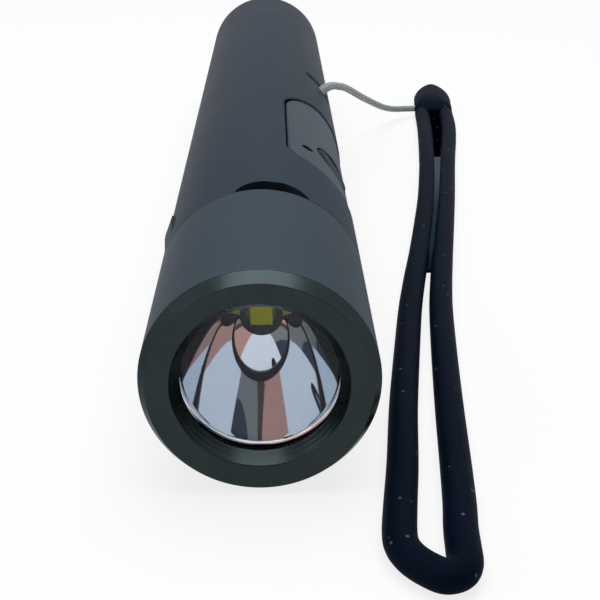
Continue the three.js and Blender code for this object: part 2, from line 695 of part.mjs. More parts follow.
const TETHER_ROUTE = [
  [10.35, 14.3, 17.5], [11.5, 14.4, 18.1], [12.7, 15.2, 18.5], [13.5, 17.4, 18.4], [14.1, 21.2, 17.5],
  [15.2, 26.5, 16.0], [16.5, 31.2, 14.4], [18.0, 36.0, 12.6], [19.5, 41.0, 10.8], [21.2, 46.3, 8.9],
  [23.0, 51.5, 7.0], [24.8, 56.0, 5.3], [26.7, 60.0, 3.9], [28.7, 63.4, 2.9], [30.4, 65.6, 2.4],
  [31.7, 66.6, 2.2], [32.85, 66.9, 2.15],
];
const STRAP_ROUTE = [
  [34.3, 64.3], [33.8, 53.6], [32.9, 42.5], [31.8, 32.4], [30.7, 23.0], [28.4, 6.4], [26.0, -8.0],
  [23.8, -20.5], [21.7, -31.6], [20.0, -41.3], [18.1, -54.1], [16.1, -68.3], [14.7, -80.1], [13.5, -90.0],
  [13.1, -94.3], [13.9, -97.0], [16.0, -98.1], [18.0, -97.1], [18.8, -94.4],
  [19.3, -90.0], [20.2, -80.1], [21.3, -68.3], [22.75, -54.1], [24.2, -41.3], [25.6, -31.6],
  [27.4, -20.5], [29.5, -8.0], [31.85, 6.4], [34.4, 23.0], [35.9, 32.4], [37.6, 42.5], [39.2, 53.6],
  [40.2, 64.3],
];
const TAB_MIDDLE = 37.25; // middle of the strap's two ends
const TAB_FRONT = 64.6; // front face of the tab
const TAB_LEAN = 2.6; // sideways shift from the tab's front to its round end
const WEB_TIP_MIDDLE = 35.25; // between the legs at the web's tip

function tether() {
  const points = TETHER_ROUTE.map(([x, y, z]) => new THREE.Vector3(x, y, z));
  return tube(new Route(points), TETHER_D, 8, 2 * (points.length - 1));
}

function strapLoop() {
  const points = STRAP_ROUTE.map(([x, y]) => new THREE.Vector3(x, y, STRAP_D / 2));
  return tube(new Route(points), STRAP_D, 10, 2 * (points.length - 1));
}

// Tab with a round end, leaning with the strap, and the thin web that runs between the legs.
function strapTab() {
  const half = TAB_W / 2;
  const shape = new THREE.Shape();
  shape.moveTo(TAB_MIDDLE - half, TAB_FRONT);
  shape.lineTo(TAB_MIDDLE + half, TAB_FRONT);
  shape.lineTo(TAB_MIDDLE + TAB_LEAN + half, TAB_FRONT + TAB_LEN - half);
  shape.absarc(TAB_MIDDLE + TAB_LEAN, TAB_FRONT + TAB_LEN - half, half, 0, Math.PI);
  const block = new THREE.ExtrudeGeometry(shape, { depth: TAB_T, bevelEnabled: false, curveSegments: 8 });
  const root = TAB_FRONT + FIT;
  const tip = TAB_FRONT - WEB_LEN;
  const outline = new THREE.Shape();
  outline.moveTo(TAB_MIDDLE - WEB_ROOT_W / 2, root);
  outline.lineTo(WEB_TIP_MIDDLE - WEB_TIP_W / 2, tip);
  outline.lineTo(WEB_TIP_MIDDLE + WEB_TIP_W / 2, tip);
  outline.lineTo(TAB_MIDDLE + WEB_ROOT_W / 2, root);
  const web = new THREE.ExtrudeGeometry(outline, { depth: WEB_T, bevelEnabled: false });
  return fromManifold(toManifold(block).add(toManifold(web)));
}

add(strap, 'tether', tether(), finish(0x6d7173, 0.8, 0));
add(strap, 'strap_tab', strapTab(), blackRubber());
add(strap, 'strap_loop', strapLoop(), finish(0x1a2029, 0.75, 0));

export default flashlight;
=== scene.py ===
# Multifunction flashlight lying on a white table: an anodised tube with a head that slides forward,
# a button pad on its side, a screw-on tail cap and a silicone wrist strap on a thin cord.
import json
import math

import bmesh
import bpy
from mathutils import Matrix, Vector


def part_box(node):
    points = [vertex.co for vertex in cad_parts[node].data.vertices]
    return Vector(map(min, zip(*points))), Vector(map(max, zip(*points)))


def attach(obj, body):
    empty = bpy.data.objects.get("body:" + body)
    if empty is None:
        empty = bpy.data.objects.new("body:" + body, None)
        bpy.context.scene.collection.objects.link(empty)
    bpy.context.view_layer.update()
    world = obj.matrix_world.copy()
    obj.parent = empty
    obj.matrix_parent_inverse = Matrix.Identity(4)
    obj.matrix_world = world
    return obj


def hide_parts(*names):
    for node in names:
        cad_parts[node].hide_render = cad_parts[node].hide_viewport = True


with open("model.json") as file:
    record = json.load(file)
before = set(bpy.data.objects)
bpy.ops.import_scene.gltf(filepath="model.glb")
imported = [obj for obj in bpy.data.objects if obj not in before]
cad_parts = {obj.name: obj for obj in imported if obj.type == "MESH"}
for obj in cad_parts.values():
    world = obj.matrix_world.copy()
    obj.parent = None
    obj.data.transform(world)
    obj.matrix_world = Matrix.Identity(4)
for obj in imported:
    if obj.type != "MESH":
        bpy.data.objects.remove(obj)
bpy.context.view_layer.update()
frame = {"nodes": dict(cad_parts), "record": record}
scene = bpy.context.scene
scene.view_settings.view_transform = "Standard"

# Camera: close in front of the lens, looking down along the tube.
# Its place and turn come from a fit to the photograph's rings and outlines.
EYE = Vector((0.00106, -0.17742, 0.06312))
VIEW_RIGHT = Vector((0.99965, -0.02412, 0.01068))
VIEW_UP = Vector((0.0, 0.40503, 0.91430))
LENS_MM = 66.13
SENSOR_MM = 36
NEAREST = 0.005
camera = bpy.data.objects.new("camera", bpy.data.cameras.new("camera"))
camera.data.lens = LENS_MM
camera.data.sensor_width = SENSOR_MM
camera.data.clip_start = NEAREST
camera.location = EYE
camera.rotation_mode = "QUATERNION"
view_back = VIEW_RIGHT.cross(VIEW_UP)
camera.rotation_quaternion = Matrix((VIEW_RIGHT, VIEW_UP, view_back)).transposed().to_quaternion()
scene.collection.objects.link(camera)
scene.camera = camera


# Table: a white sheet that keeps a faint soft shadow, under a white room.
# Camera, mirror and glass rays see the same white, and the object is lit at a plain level.
def linear(code):
    """An sRGB hex colour as linear red, green, blue and full alpha."""
    parts = [int(code[i:i + 2], 16) / 255 for i in (1, 3, 5)]
    return [c / 12.92 if c <= 0.04045 else ((c + 0.055) / 1.055) ** 2.4 for c in parts] + [1.0]


def feed(tree, node, inputs):
    """Sets a node's inputs: plain values, or sockets that are linked in."""
    for name, value in inputs.items():
        if isinstance(value, bpy.types.NodeSocket):
            tree.links.new(value, node.inputs[name])
        else:
            node.inputs[name].default_value = value


def add_node(tree, kind, inputs=None, **settings):
    """A node with its settings and inputs."""
    made = tree.nodes.new(kind)
    for name, value in settings.items():
        setattr(made, name, value)
    feed(tree, made, inputs or {})
    return made


def seen_rays(tree):
    """One for rays from the camera, off a mirror or through glass, and nought for the light's own."""
    path = add_node(tree, "ShaderNodeLightPath").outputs
    first = add_node(tree, "ShaderNodeMath",
                     {0: path["Is Camera Ray"], 1: path["Is Glossy Ray"]}, operation="MAXIMUM")
    both = add_node(tree, "ShaderNodeMath",
                    {0: first.outputs[0], 1: path["Is Transmission Ray"]}, operation="MAXIMUM")
    return both.outputs[0]


TABLE_HALF = 3.0
TABLE_DROP = 0.00004
TABLE_WHITE = "#F4F5F6"
TABLE_GLOW = 0.8
ROOM_FILL = 0.34
PURE_WHITE = linear("#FFFFFF")
room = bpy.data.worlds.new("white_room")
room.use_nodes = True
room_tree = room.node_tree
room_strength = add_node(room_tree, "ShaderNodeMapRange",
                         {"Value": seen_rays(room_tree), "To Min": ROOM_FILL, "To Max": 1.0})
feed(room_tree, room_tree.nodes["Background"], {"Color": PURE_WHITE, "Strength": room_strength.outputs[0]})
scene.world = room

table = bpy.data.objects.new("table", bpy.data.meshes.new("table"))
table_corners = ((-1, -1), (1, -1), (1, 1), (-1, 1))
table.data.from_pydata([(x * TABLE_HALF, y * TABLE_HALF, -TABLE_DROP) for x, y in table_corners],
                       [], [(0, 1, 2, 3)])
table_paper = bpy.data.materials.new("white_table_paper")
table_paper.use_nodes = True
paper_tree = table_paper.node_tree
paper_tree.nodes.remove(paper_tree.nodes["Principled BSDF"])
paper_share = add_node(paper_tree, "ShaderNodeMath",
                       {0: seen_rays(paper_tree), 1: TABLE_GLOW}, operation="MULTIPLY")
paper_lit = add_node(paper_tree, "ShaderNodeBsdfDiffuse", {"Color": linear(TABLE_WHITE)})
paper_glow = add_node(paper_tree, "ShaderNodeEmission", {"Color": PURE_WHITE, "Strength": 1.0})
paper_mix = add_node(paper_tree, "ShaderNodeMixShader",
                     {0: paper_share.outputs[0], 1: paper_lit.outputs[0], 2: paper_glow.outputs[0]})
feed(paper_tree, paper_tree.nodes["Material Output"], {"Surface": paper_mix.outputs[0]})
table.data.materials.append(table_paper)
scene.collection.objects.link(table)

# Light: one wide soft box overhead and a weaker one at the left.
# Beside the camera stand a few coloured cards, which give the mirror its dark and warm streaks.
LAMP_SIDE = 0.5
LAMPS = {"overhead_box": ((0, 0.02, 0.55), 3.4), "left_box": ((-0.7, -0.25, 0.35), 1.0)}
CARD_Y = -0.19
CARD_Z = 0.06
CARD_H = 0.11
CARDS = {
    "dark_card": (0.05, 0.2, "#353D4A"),
    "grey_card": (0.008, 0.05, "#8E8C86"),
    "brown_card": (-0.012, 0.008, "#554138"),
    "warm_card": (-0.16, -0.012, "#D9A08E"),
    "plum_card": (-0.21, -0.16, "#4A3038"),
}


def soft_box(name, place, radiance):
    """An area lamp turned to the origin, whose face has that brightness, unseen by the camera."""
    lamp = bpy.data.lights.new(name, "AREA")
    lamp.shape = "RECTANGLE"
    lamp.size = LAMP_SIDE
    lamp.size_y = LAMP_SIDE
    lamp.energy = radiance * math.pi * LAMP_SIDE ** 2
    box = bpy.data.objects.new(name, lamp)
    box.location = place
    box.rotation_mode = "QUATERNION"
    box.rotation_quaternion = (-Vector(place)).to_track_quat("-Z", "Y")
    box.visible_camera = False
    scene.collection.objects.link(box)


def reflected_card(name, left, right, colour):
    """An upright card between two places across the view, which only mirror and glass rays see."""
    card = bpy.data.objects.new(name, bpy.data.meshes.new(name))
    low, high = CARD_Z - CARD_H / 2, CARD_Z + CARD_H / 2
    corners = ((left, low), (right, low), (right, high), (left, high))
    card.data.from_pydata([(x, CARD_Y, z) for x, z in corners], [], [(0, 1, 2, 3)])
    paint = bpy.data.materials.new(name)
    paint.use_nodes = True
    tree = paint.node_tree
    tree.nodes.remove(tree.nodes["Principled BSDF"])
    glow = add_node(tree, "ShaderNodeEmission", {"Color": linear(colour), "Strength": 1.0})
    feed(tree, tree.nodes["Material Output"], {"Surface": glow.outputs[0]})
    card.data.materials.append(paint)
    card.visible_camera = False
    card.visible_diffuse = False
    card.visible_shadow = False
    scene.collection.objects.link(card)


for lamp_name, (lamp_place, lamp_radiance) in LAMPS.items():
    soft_box(lamp_name, lamp_place, lamp_radiance)
for card_name, (card_left, card_right, card_colour) in CARDS.items():
    reflected_card(card_name, card_left, card_right, card_colour)

# Tether: a thin braided nylon cord that runs from the tube's slot down to the strap's tab.
# Its whole length shows, and it lies along the route that its solid takes.
MM = 0.001
TETHER_D = 1.3 * MM
TETHER_SIDES = 20
TETHER_STEPS = 12
ROOT_FLARE, ROOT_SHARE = 0.35, 0.07
BRAID_PITCH_MM = 1.1
BRAID_STRANDS = 4
TETHER_ROUTE = [
    (9.3, 14.5, 17.6), (10.3, 15.0, 18.4), (11.15, 15.55, 18.78), (12.15, 16.65, 18.75), (13.2, 18.4, 18.25),
    (14.1, 21.2, 17.5), (15.2, 26.5, 16.0), (16.5, 31.2, 14.4), (18.0, 36.0, 12.6), (19.5, 41.0, 10.8),
    (21.2, 46.3, 8.9), (23.0, 51.5, 7.0), (24.8, 56.0, 5.3), (26.7, 60.0, 3.9), (28.7, 63.4, 2.9),
    (30.4, 65.6, 2.4), (31.7, 66.6, 2.2), (33.0, 66.95, 2.15), (34.4, 67.1, 2.15),
]


def smooth_route(points, steps):
    """A Catmull-Rom line through the points, with that many steps between each two."""
    ends = [2 * points[0] - points[1], *points, 2 * points[-1] - points[-2]]
    line = []
    for a, b, c, d in zip(ends, ends[1:], ends[2:], ends[3:]):
        for k in range(steps):
            t = k / steps
            line.append(0.5 * (2 * b + (c - a) * t + (2 * a - 5 * b + 4 * c - d) * t * t
                               + (3 * b - a - 3 * c + d) * t ** 3))
    return [*line, points[-1]]


def piece_of(name, mesh, material, body, slot, *nodes):
    """An object for a finished mesh, riding on its body and standing for its solids."""
    piece = bpy.data.objects.new(name, mesh)
    scene.collection.objects.link(piece)
    mesh.materials.clear()
    mesh.materials.append(material)
    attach(piece, body)
    if nodes:
        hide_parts(*nodes)
    return piece


def swept(name, line, section, sides):
    """A closed tube along a line. The section gives (across, up) for a share of the length and an angle."""
    bm = bmesh.new()
    length = [0.0]
    for a, b in zip(line, line[1:]):
        length.append(length[-1] + (b - a).length)
    rings = []
    for i, point in enumerate(line):
        ahead = line[min(i + 1, len(line) - 1)] - line[max(i - 1, 0)]
        side = ahead.cross(Vector((0, 0, 1))).normalized()
        up = side.cross(ahead).normalized()
        ring = []
        for k in range(sides):
            across, rise = section(length[i] / length[-1], 2 * math.pi * k / sides)
            ring.append(bm.verts.new(point + side * across + up * rise))
        rings.append(ring)
    lay = bm.loops.layers.uv.new("along")
    for i, (one, two) in enumerate(zip(rings, rings[1:])):
        for k in range(sides):
            face = bm.faces.new((one[k], one[(k + 1) % sides], two[(k + 1) % sides], two[k]))
            marks = ((i, k), (i, k + 1), (i + 1, k + 1), (i + 1, k))
            for loop, (row, turn) in zip(face.loops, marks):
                loop[lay].uv = (length[row] / MM, turn / sides)
    bm.faces.new(list(reversed(rings[0])))
    bm.faces.new(rings[-1])
    bmesh.ops.recalc_face_normals(bm, faces=bm.faces)
    mesh = bpy.data.meshes.new(name)
    bm.to_mesh(mesh)
    bm.free()
    mesh.shade_smooth()
    return mesh


def braided_nylon(name, dark, light):
    """Braided nylon: matte, with small crossing strands whose crowns are painted lighter as highlight and
    whose grooves darker as shade.
    """
    cloth = bpy.data.materials.new(name)
    cloth.use_nodes = True
    tree = cloth.node_tree
    place = add_node(tree, "ShaderNodeUVMap", uv_map="along").outputs[0]
    apart = add_node(tree, "ShaderNodeSeparateXYZ", {0: place}).outputs
    waves = []
    for turn in (1, -1):
        around = add_node(tree, "ShaderNodeMath", {0: apart[1], 1: turn * BRAID_STRANDS * 2 * math.pi},
                          operation="MULTIPLY").outputs[0]
        angle = add_node(tree, "ShaderNodeMath",
                         {0: apart[0], 1: 2 * math.pi / BRAID_PITCH_MM, 2: around},
                         operation="MULTIPLY_ADD").outputs[0]
        waves.append(add_node(tree, "ShaderNodeMath", {0: angle}, operation="SINE").outputs[0])
    crown = add_node(tree, "ShaderNodeMath", {0: waves[0], 1: waves[1]}, operation="MULTIPLY").outputs[0]
    level = add_node(tree, "ShaderNodeMapRange", {"Value": crown, "From Min": -1.0}).outputs[0]
    # Painted highlight and shade: dark in the grooves between strands, light on their crowns.
    colour = add_node(tree, "ShaderNodeMix",
                      {0: level, 6: linear(dark), 7: linear(light)}, data_type="RGBA")
    bump = add_node(tree, "ShaderNodeBump", {"Height": level, "Strength": 0.6, "Distance": 0.1 * MM})
    feed(tree, tree.nodes["Principled BSDF"],
         {"Base Color": colour.outputs[2], "Normal": bump.outputs[0], "Roughness": 0.75,
          "Specular IOR Level": 0.3})
    return cloth


def tether_section(share, angle):
    """Round, with a fuller root where the cord leaves the slot."""
    radius = TETHER_D / 2 * (1 + ROOT_FLARE * max(0.0, 1 - share / ROOT_SHARE))
    return radius * math.cos(angle), radius * math.sin(angle)


tether_line = smooth_route([Vector(p) * MM for p in TETHER_ROUTE], TETHER_STEPS)
tether_mesh = swept("tether_cord", tether_line, tether_section, TETHER_SIDES)
tether_nylon = braided_nylon("braided_nylon", "#7E8487", "#A9AFB2")
tether = piece_of("tether_cord", tether_mesh, tether_nylon, "torch", "tether_cord", "tether")

# Strap loop: one moulded silicone cord that lies flat on the table, with a tight round turn at its end.
# Both ends run into the tab, and a thin web joins the legs next to it, with a dark hollow behind. The web's
# top is painted lighter towards the tab as a painted highlight, and the hollow's floor is painted black as
# shade.
# It is nearly black, matte, and has picked up pale dust.
STRAP_D = 3.1 * MM
STRAP_END_D = 3.4 * MM
STRAP_SIDES = 28
STRAP_STEPS = 10
STRAP_FLAT = 0.46
TURN_SHARE = 0.3
STRAP_ROUTE = [
    (34.9, 64.9), (34.0, 53.6), (32.9, 42.5), (31.8, 32.4), (31.28, 28.0), (30.7, 23.0), (28.4, 6.4),
    (26.0, -8.0), (23.8, -20.5), (22.95, -25.0), (21.7, -31.6), (20.0, -41.3), (18.1, -54.1), (16.1, -68.3),
    (14.7, -80.1), (13.68, -87.5), (13.12, -92.0), (13.12, -94.2), (13.75, -96.0), (14.9, -97.5),
    (16.4, -98.6), (17.8, -98.2), (18.5, -96.8), (18.72, -94.5), (18.95, -91.6), (19.47, -87.5),
    (20.2, -80.1), (21.3, -68.3), (22.75, -54.1), (24.2, -41.3), (25.6, -31.6), (26.67, -25.0),
    (27.4, -20.5), (29.5, -8.0), (31.85, 6.4), (34.4, 23.0), (35.2, 28.0), (35.9, 32.4), (37.6, 42.5),
    (39.2, 53.6), (40.2, 64.9),
]
WEB_END, WEB_STEP, WEB_MIDDLE, WEB_FORK = 66.0, 28.0, -8.0, -26.0
WEB_LOW, HOLLOW_H, LEG_WEB_H, MIDDLE_H, FORK_H = 0.05, 0.8, 2.4, 2.2, 0.6
WEB_FADE = 2
# Stations, in millimetres, over which the web's painted highlight fades out towards the turn.
SHEEN_START, SHEEN_END = 18.0, -2.0


def strap_section(share, angle):
    """Round, a little fuller towards the turn, and flattened where it lies on the table."""
    near_turn = max(0.0, 1 - abs(share - 0.5) / TURN_SHARE)
    width = STRAP_D + (STRAP_END_D - STRAP_D) * near_turn
    rise = max(STRAP_D / 2 * math.sin(angle), -STRAP_FLAT * STRAP_D)
    return width / 2 * math.cos(angle), rise


def new_finish(name):
    """A new material, its node tree, its shader and the object coordinates that its patterns read."""
    made = bpy.data.materials.new(name)
    made.use_nodes = True
    tree = made.node_tree
    place = add_node(tree, "ShaderNodeTexCoord").outputs["Object"]
    return made, tree, tree.nodes["Principled BSDF"], place


def silicone(name, colour, dust, film_share, gloss=0.03, wear_and_sheen=None):
    """Moulded silicone: nearly black, soft sheen, with a fine skin and scattered pale dust.

    A second, lighter colour shows at the rear and fades out between the two sheen stations: a painted
    highlight where the web's top catches the light.
    """
    rubber, tree, shade, place = new_finish(name)
    cloud = add_node(tree, "ShaderNodeTexNoise",
                     {"Vector": place, "Scale": 1 / (14 * MM), "Detail": 3.0}).outputs[0]
    speck = add_node(tree, "ShaderNodeTexVoronoi", {"Vector": place, "Scale": 1 / (1.5 * MM)})
    dot = add_node(tree, "ShaderNodeMapRange",
                   {"Value": speck.outputs["Distance"], "From Min": 0.16, "From Max": 0.06}).outputs[0]
    pick = add_node(tree, "ShaderNodeSeparateColor", {0: speck.outputs["Color"]}).outputs[0]
    some = add_node(tree, "ShaderNodeMath", {0: pick, 1: 0.7}, operation="GREATER_THAN").outputs[0]
    dusty = add_node(tree, "ShaderNodeMath", {0: dot, 1: some}, operation="MULTIPLY").outputs[0]
    film = add_node(tree, "ShaderNodeMapRange",
                    {"Value": cloud, "From Min": 0.5, "From Max": 0.8, "To Max": film_share}).outputs[0]
    amount = add_node(tree, "ShaderNodeMath", {0: dusty, 1: 0.35, 2: film},
                      operation="MULTIPLY_ADD").outputs[0]
    tint = add_node(tree, "ShaderNodeMix", {0: amount, 6: linear(colour), 7: linear(dust)},
                    data_type="RGBA")
    # Painted highlight: the lighter colour stands in for light on the web's flat top, fading towards the
    # turn.
    if wear_and_sheen:
        along = add_node(tree, "ShaderNodeSeparateXYZ", {0: place}).outputs[1]
        share = add_node(tree, "ShaderNodeMapRange",
                         {"Value": along, "From Min": SHEEN_END * MM, "From Max": SHEEN_START * MM}).outputs[0]
        fade = add_node(tree, "ShaderNodeMix",
                        {0: share, 6: linear(colour), 7: linear(wear_and_sheen)}, data_type="RGBA")
        feed(tree, tint, {6: fade.outputs[2]})
    skin = add_node(tree, "ShaderNodeTexNoise",
                    {"Vector": place, "Scale": 1 / (0.35 * MM), "Detail": 2.0})
    bump = add_node(tree, "ShaderNodeBump",
                    {"Height": skin.outputs[0], "Strength": 0.25, "Distance": 0.05 * MM})
    rough = add_node(tree, "ShaderNodeMapRange", {"Value": cloud, "To Min": 0.5, "To Max": 0.72})
    feed(tree, shade, {"Base Color": tint.outputs[2], "Normal": bump.outputs[0],
                       "Roughness": rough.outputs[0], "IOR": 1.41, "Specular IOR Level": gloss})
    return rubber


def lofted(name, rings):
    """A closed mesh through rings of equal count, with flat ends."""
    bm = bmesh.new()
    made = [[bm.verts.new(p) for p in ring] for ring in rings]
    count = len(made[0])
    for one, two in zip(made, made[1:]):
        for k in range(count):
            bm.faces.new((one[k], one[(k + 1) % count], two[(k + 1) % count], two[k]))
    bm.faces.new(list(reversed(made[0])))
    bm.faces.new(made[-1])
    bmesh.ops.recalc_face_normals(bm, faces=bm.faces)
    mesh = bpy.data.meshes.new(name)
    bm.to_mesh(mesh)
    bm.free()
    return mesh


def smoothed(mesh, degrees=32):
    """Smooth shading with crisp edges where faces turn by more than that."""
    mesh.shade_smooth()
    mesh.set_sharp_from_angle(angle=math.radians(degrees))
    return mesh


def web_between(name, near, far, high, near_high, rubber):
    """A thin wall between the legs, over the stations that both list, with a near end of its own height."""
    rings = []
    for x, y in STRAP_ROUTE:
        for other, same in STRAP_ROUTE:
            if same == y and x < other and near <= y <= far:
                top = high if y > near + WEB_FADE else near_high
                ring = ((x, WEB_LOW), (other, WEB_LOW), (other, top), (x, top))
                rings.append([Vector((side, y, level)) * MM for side, level in ring])
    return piece_of(name, smoothed(lofted(name, rings)), rubber, "torch", "strap_silicone")


strap_rubber = silicone("moulded_silicone", "#030C1B", "#7F93A6", 0.012)
# The web's rubber is lighter than the strap's: a painted highlight for the light on its flat top.
painted_sheen_rubber = silicone("painted_sheen_silicone", "#122230", "#8A97A3", 0.02, wear_and_sheen="#3B4451")
# The hollow's rubber is black with no gloss: painted shade for the shadow between the legs under the tab.
painted_shade_rubber = silicone("painted_shade_silicone", "#000104", "#8A97A3", 0.0, gloss=0.0)
strap_line = smooth_route([Vector((x * MM, y * MM, STRAP_D / 2)) for x, y in STRAP_ROUTE], STRAP_STEPS)
loop_mesh = swept("wrist_loop", strap_line, strap_section, STRAP_SIDES)
strap = piece_of("wrist_loop", loop_mesh, strap_rubber, "torch", "strap_silicone", "strap_loop")
leg_web = web_between("leg_web", WEB_MIDDLE, WEB_STEP, LEG_WEB_H, MIDDLE_H, painted_sheen_rubber)
low_web = web_between("low_web", WEB_FORK, WEB_MIDDLE, MIDDLE_H, FORK_H, painted_sheen_rubber)
hollow_web = web_between("hollow_web", WEB_STEP, WEB_END, HOLLOW_H, HOLLOW_H, painted_shade_rubber)

# Strap tab: a thicker silicone block with a round end that joins both ends of the loop.
# Its front slopes down to the legs, over the dark hollow between them, whose black floor is painted shade.
TAB_MIDDLE = 37.55
TAB_FRONT = 64.6
TAB_LEAN = 1.75
TAB_LEN = 20
TAB_W = 8.4
TAB_SLOPE = 2.2
TAB_END = 11
TAB_T = 4.4
TAB_ROUND = 3.5
TAB_CORNER = 1.2
TAB_STEPS = 16


def tab_outline(inset, slope):
    """The tab from above, in millimetres: straight sides that lean with the strap and a round end."""
    half = TAB_W / 2 - inset
    end = TAB_FRONT + TAB_LEN - TAB_END
    corner = min(TAB_CORNER, half)
    points = []
    for side, start in ((-1, math.pi), (1, 1.5 * math.pi)):
        for k in range(TAB_STEPS // 2 + 1):
            a = start + math.pi * k / TAB_STEPS
            points.append((TAB_MIDDLE + side * (half - corner) + corner * math.cos(a),
                           TAB_FRONT + slope * inset + corner + corner * math.sin(a)))
    for k in range(2 * TAB_STEPS + 1):
        a = math.pi * k / (2 * TAB_STEPS)
        y = end + (TAB_END - inset) * math.sin(a)
        points.append((TAB_MIDDLE + TAB_LEAN * (y - TAB_FRONT) / TAB_LEN + half * math.cos(a), y))
    return points


tab_rings = []
for step in range(2 * TAB_STEPS + 1):
    turn = math.pi / 2 * (step / TAB_STEPS - 1)
    level = TAB_T * (1 + math.sin(turn)) / 2
    outline = tab_outline(TAB_ROUND * (1 - math.cos(turn)), TAB_SLOPE if turn > 0 else 0)
    tab_rings.append([Vector((x, y, level)) * MM for x, y in outline])
tab_mesh = smoothed(lofted("strap_end_tab", tab_rings))
tab = piece_of("strap_end_tab", tab_mesh, strap_rubber, "torch", "strap_silicone", "strap_tab")

# Body tube: one drawn aluminium tube, bead blasted and anodised dark blue-grey.
# Its front edge is relieved for the charging plug, and its side has a pocket for the pad and a slot.
# A low wedge stands on the far side, and the neck and the tail cap seat in its wider ends.
AXIS_Z = sum(corner.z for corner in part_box("head_sleeve")) / 2
FRONT_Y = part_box("bezel_ring")[0].y
TORCH_LEN = 167
BODY_R, BORE_R, SEAT_R = 12.0, 9.45, 10.7
TUBE_FRONT, NECK_SEAT, CAP_SEAT, TUBE_BACK = 25.75, 40.4, 140.8, 150.65
TURNED_SIDES = 192
EDGE = 0.12
EASE_STRAIGHT, EASE_SHARE, EASE_GUARD = math.radians(160), 0.35, 1.3
BLOCK_LOW, BLOCK_PAST = 2.0, 0.6
ROUND_END = 0.98
FIT = 0.3
PORT_ANGLE = 6.2
NOTCH_W, NOTCH_END, NOTCH_R, NOTCH_PAST, NOTCH_CORNER, NOTCH_FLARE = 8.7, 28.6, 3.6, 3, 0.1, 0.02
PAD_ANGLE = 57
PAD_FRONT, PAD_BACK, PAD_W, PAD_FRONT_R, PAD_REAR_R = 41.3, 75.9, 15.5, 4.5, 7.0
PAD_GAP, POCKET_FLOOR, POCKET_FLARE = 0.3, 10.7, 0.15
BUTTON_AT, BUTTON_D, BUTTON_FLANGE_R = 51.5, 6.8, 4.3
LIGHT_AT, LIGHT_SIDE, LIGHT_D, LIGHT_GAP = 48.7, -5.2, 1.4, 0.1
DRILL_LOW, DRILL_HIGH, DRILL_SIDES = 6, 14, 48
SLOT_AT, SLOT_W, SLOT_HALF_ARC, SLOT_FLOOR, SLOT_FLARE = 97.8, 3.6, 20, 10.0, 0.3
RIB_ANGLE, RIB_FRONT, RIB_BACK, RIB_RISE, RIB_W, RIB_H = -70, 27.0, 35.1, 6.45, 2.6, 0.3
RIB_BREAK_H, RIB_BREAK_LEN = 0.08, 0.1


def on_torch(side, up, station):
    """A point by its millimetres from the torch's axis and behind its front rim."""
    return Vector((side * MM, FRONT_Y + station * MM, AXIS_Z + up * MM))


def on_side(angle):
    """Places points by millimetres across, above the axis and behind the rim, turned round the tube."""
    c, s = math.cos(math.radians(angle)), math.sin(math.radians(angle))
    return lambda across, up, station: on_torch(across * c + up * s, up * c - across * s, station)


def eased(outline, radius):
    """A closed outline with its sharp corners rounded, and a point on each side that keeps flats flat."""
    made = []
    for a, p, b in zip([outline[-1], *outline], outline, [*outline[1:], outline[0]]):
        a, p, b = Vector(a), Vector(p), Vector(b)
        back, on = a - p, b - p
        if p.x < 1e-6 or back.angle(on) > EASE_STRAIGHT:
            made.append(p)
            continue
        reach = min(radius, EASE_SHARE * back.length, EASE_SHARE * on.length)
        start, end = p + back.normalized() * reach, p + on.normalized() * reach
        made.append(p + (start - p) * EASE_GUARD)
        for t in (0, 0.25, 0.5, 0.75, 1):
            made.append(start * (1 - t) ** 2 + p * 2 * t * (1 - t) + end * t * t)
        made.append(p + (end - p) * EASE_GUARD)
    return [tuple(v) for v in made]


def band(inner, outer, front, back):
    """The outline of a plain ring, or of a disc when its inner radius is nought."""
    return [(inner, front), (outer, front), (outer, back), (inner, back)]


def turned(name, outline, edge=EDGE, sides=TURNED_SIDES, place=None):
    """A closed outline of (radius, station) turned about the torch's axis, or about a placed line."""
    place = place or (lambda r, a, h: on_torch(r * math.sin(a), r * math.cos(a), h))
    points = eased(outline, edge) if edge else outline
    bm = bmesh.new()
    rings = []
    for r, h in points:
        rings.append([bm.verts.new(place(r, 2 * math.pi * k / sides, h)) for k in range(sides)])
    for one, two in zip(rings, [*rings[1:], rings[0]]):
        for k in range(sides):
            bm.faces.new((one[k], one[(k + 1) % sides], two[(k + 1) % sides], two[k]))
    bmesh.ops.remove_doubles(bm, verts=bm.verts, dist=1e-8)
    bmesh.ops.dissolve_degenerate(bm, edges=bm.edges, dist=1e-9)
    bmesh.ops.recalc_face_normals(bm, faces=bm.faces)
    mesh = bpy.data.meshes.new(name)
    bm.to_mesh(mesh)
    bm.free()
    return smoothed(mesh)


def rounded_outline(width, front, back, front_r, rear_r, steps=10):
    """Points (across, station) of a rectangle with round corners."""
    half = width / 2
    corners = ((half - front_r, front + front_r, front_r, -90), (half - rear_r, back - rear_r, rear_r, 0),
               (rear_r - half, back - rear_r, rear_r, 90), (front_r - half, front + front_r, front_r, 180))
    points = []
    for across, station, radius, start in corners:
        for k in range(steps + 1):
            a = math.radians(start + 90 * k / steps)
            points.append((across + radius * math.cos(a), station + radius * math.sin(a)))
    return points


def side_block(name, shape, angle, radius, flare, is_wrapped=True):
    """A block through the tube's side whose outline widens by the flare as it passes that radius.

    A wrapped block follows the tube, so that its walls stand square to the surface.
    """
    place = on_side(angle)
    past = flare + math.copysign(BLOCK_PAST, flare)
    levels = ((0, BLOCK_LOW), (0, radius - abs(flare)), (flare, radius), (past, radius + BLOCK_PAST),
              (past, 2 * BODY_R))
    rings = []
    for grow, level in levels:
        ring = []
        for across, station in shape(grow):
            if is_wrapped:
                turn = math.asin(across / BODY_R)
                ring.append(place(level * math.sin(turn), level * math.cos(turn), station))
            else:
                ring.append(place(across, math.sqrt(max(level ** 2 - across ** 2, 1.0)), station))
        rings.append(ring)
    return lofted(name, rings)


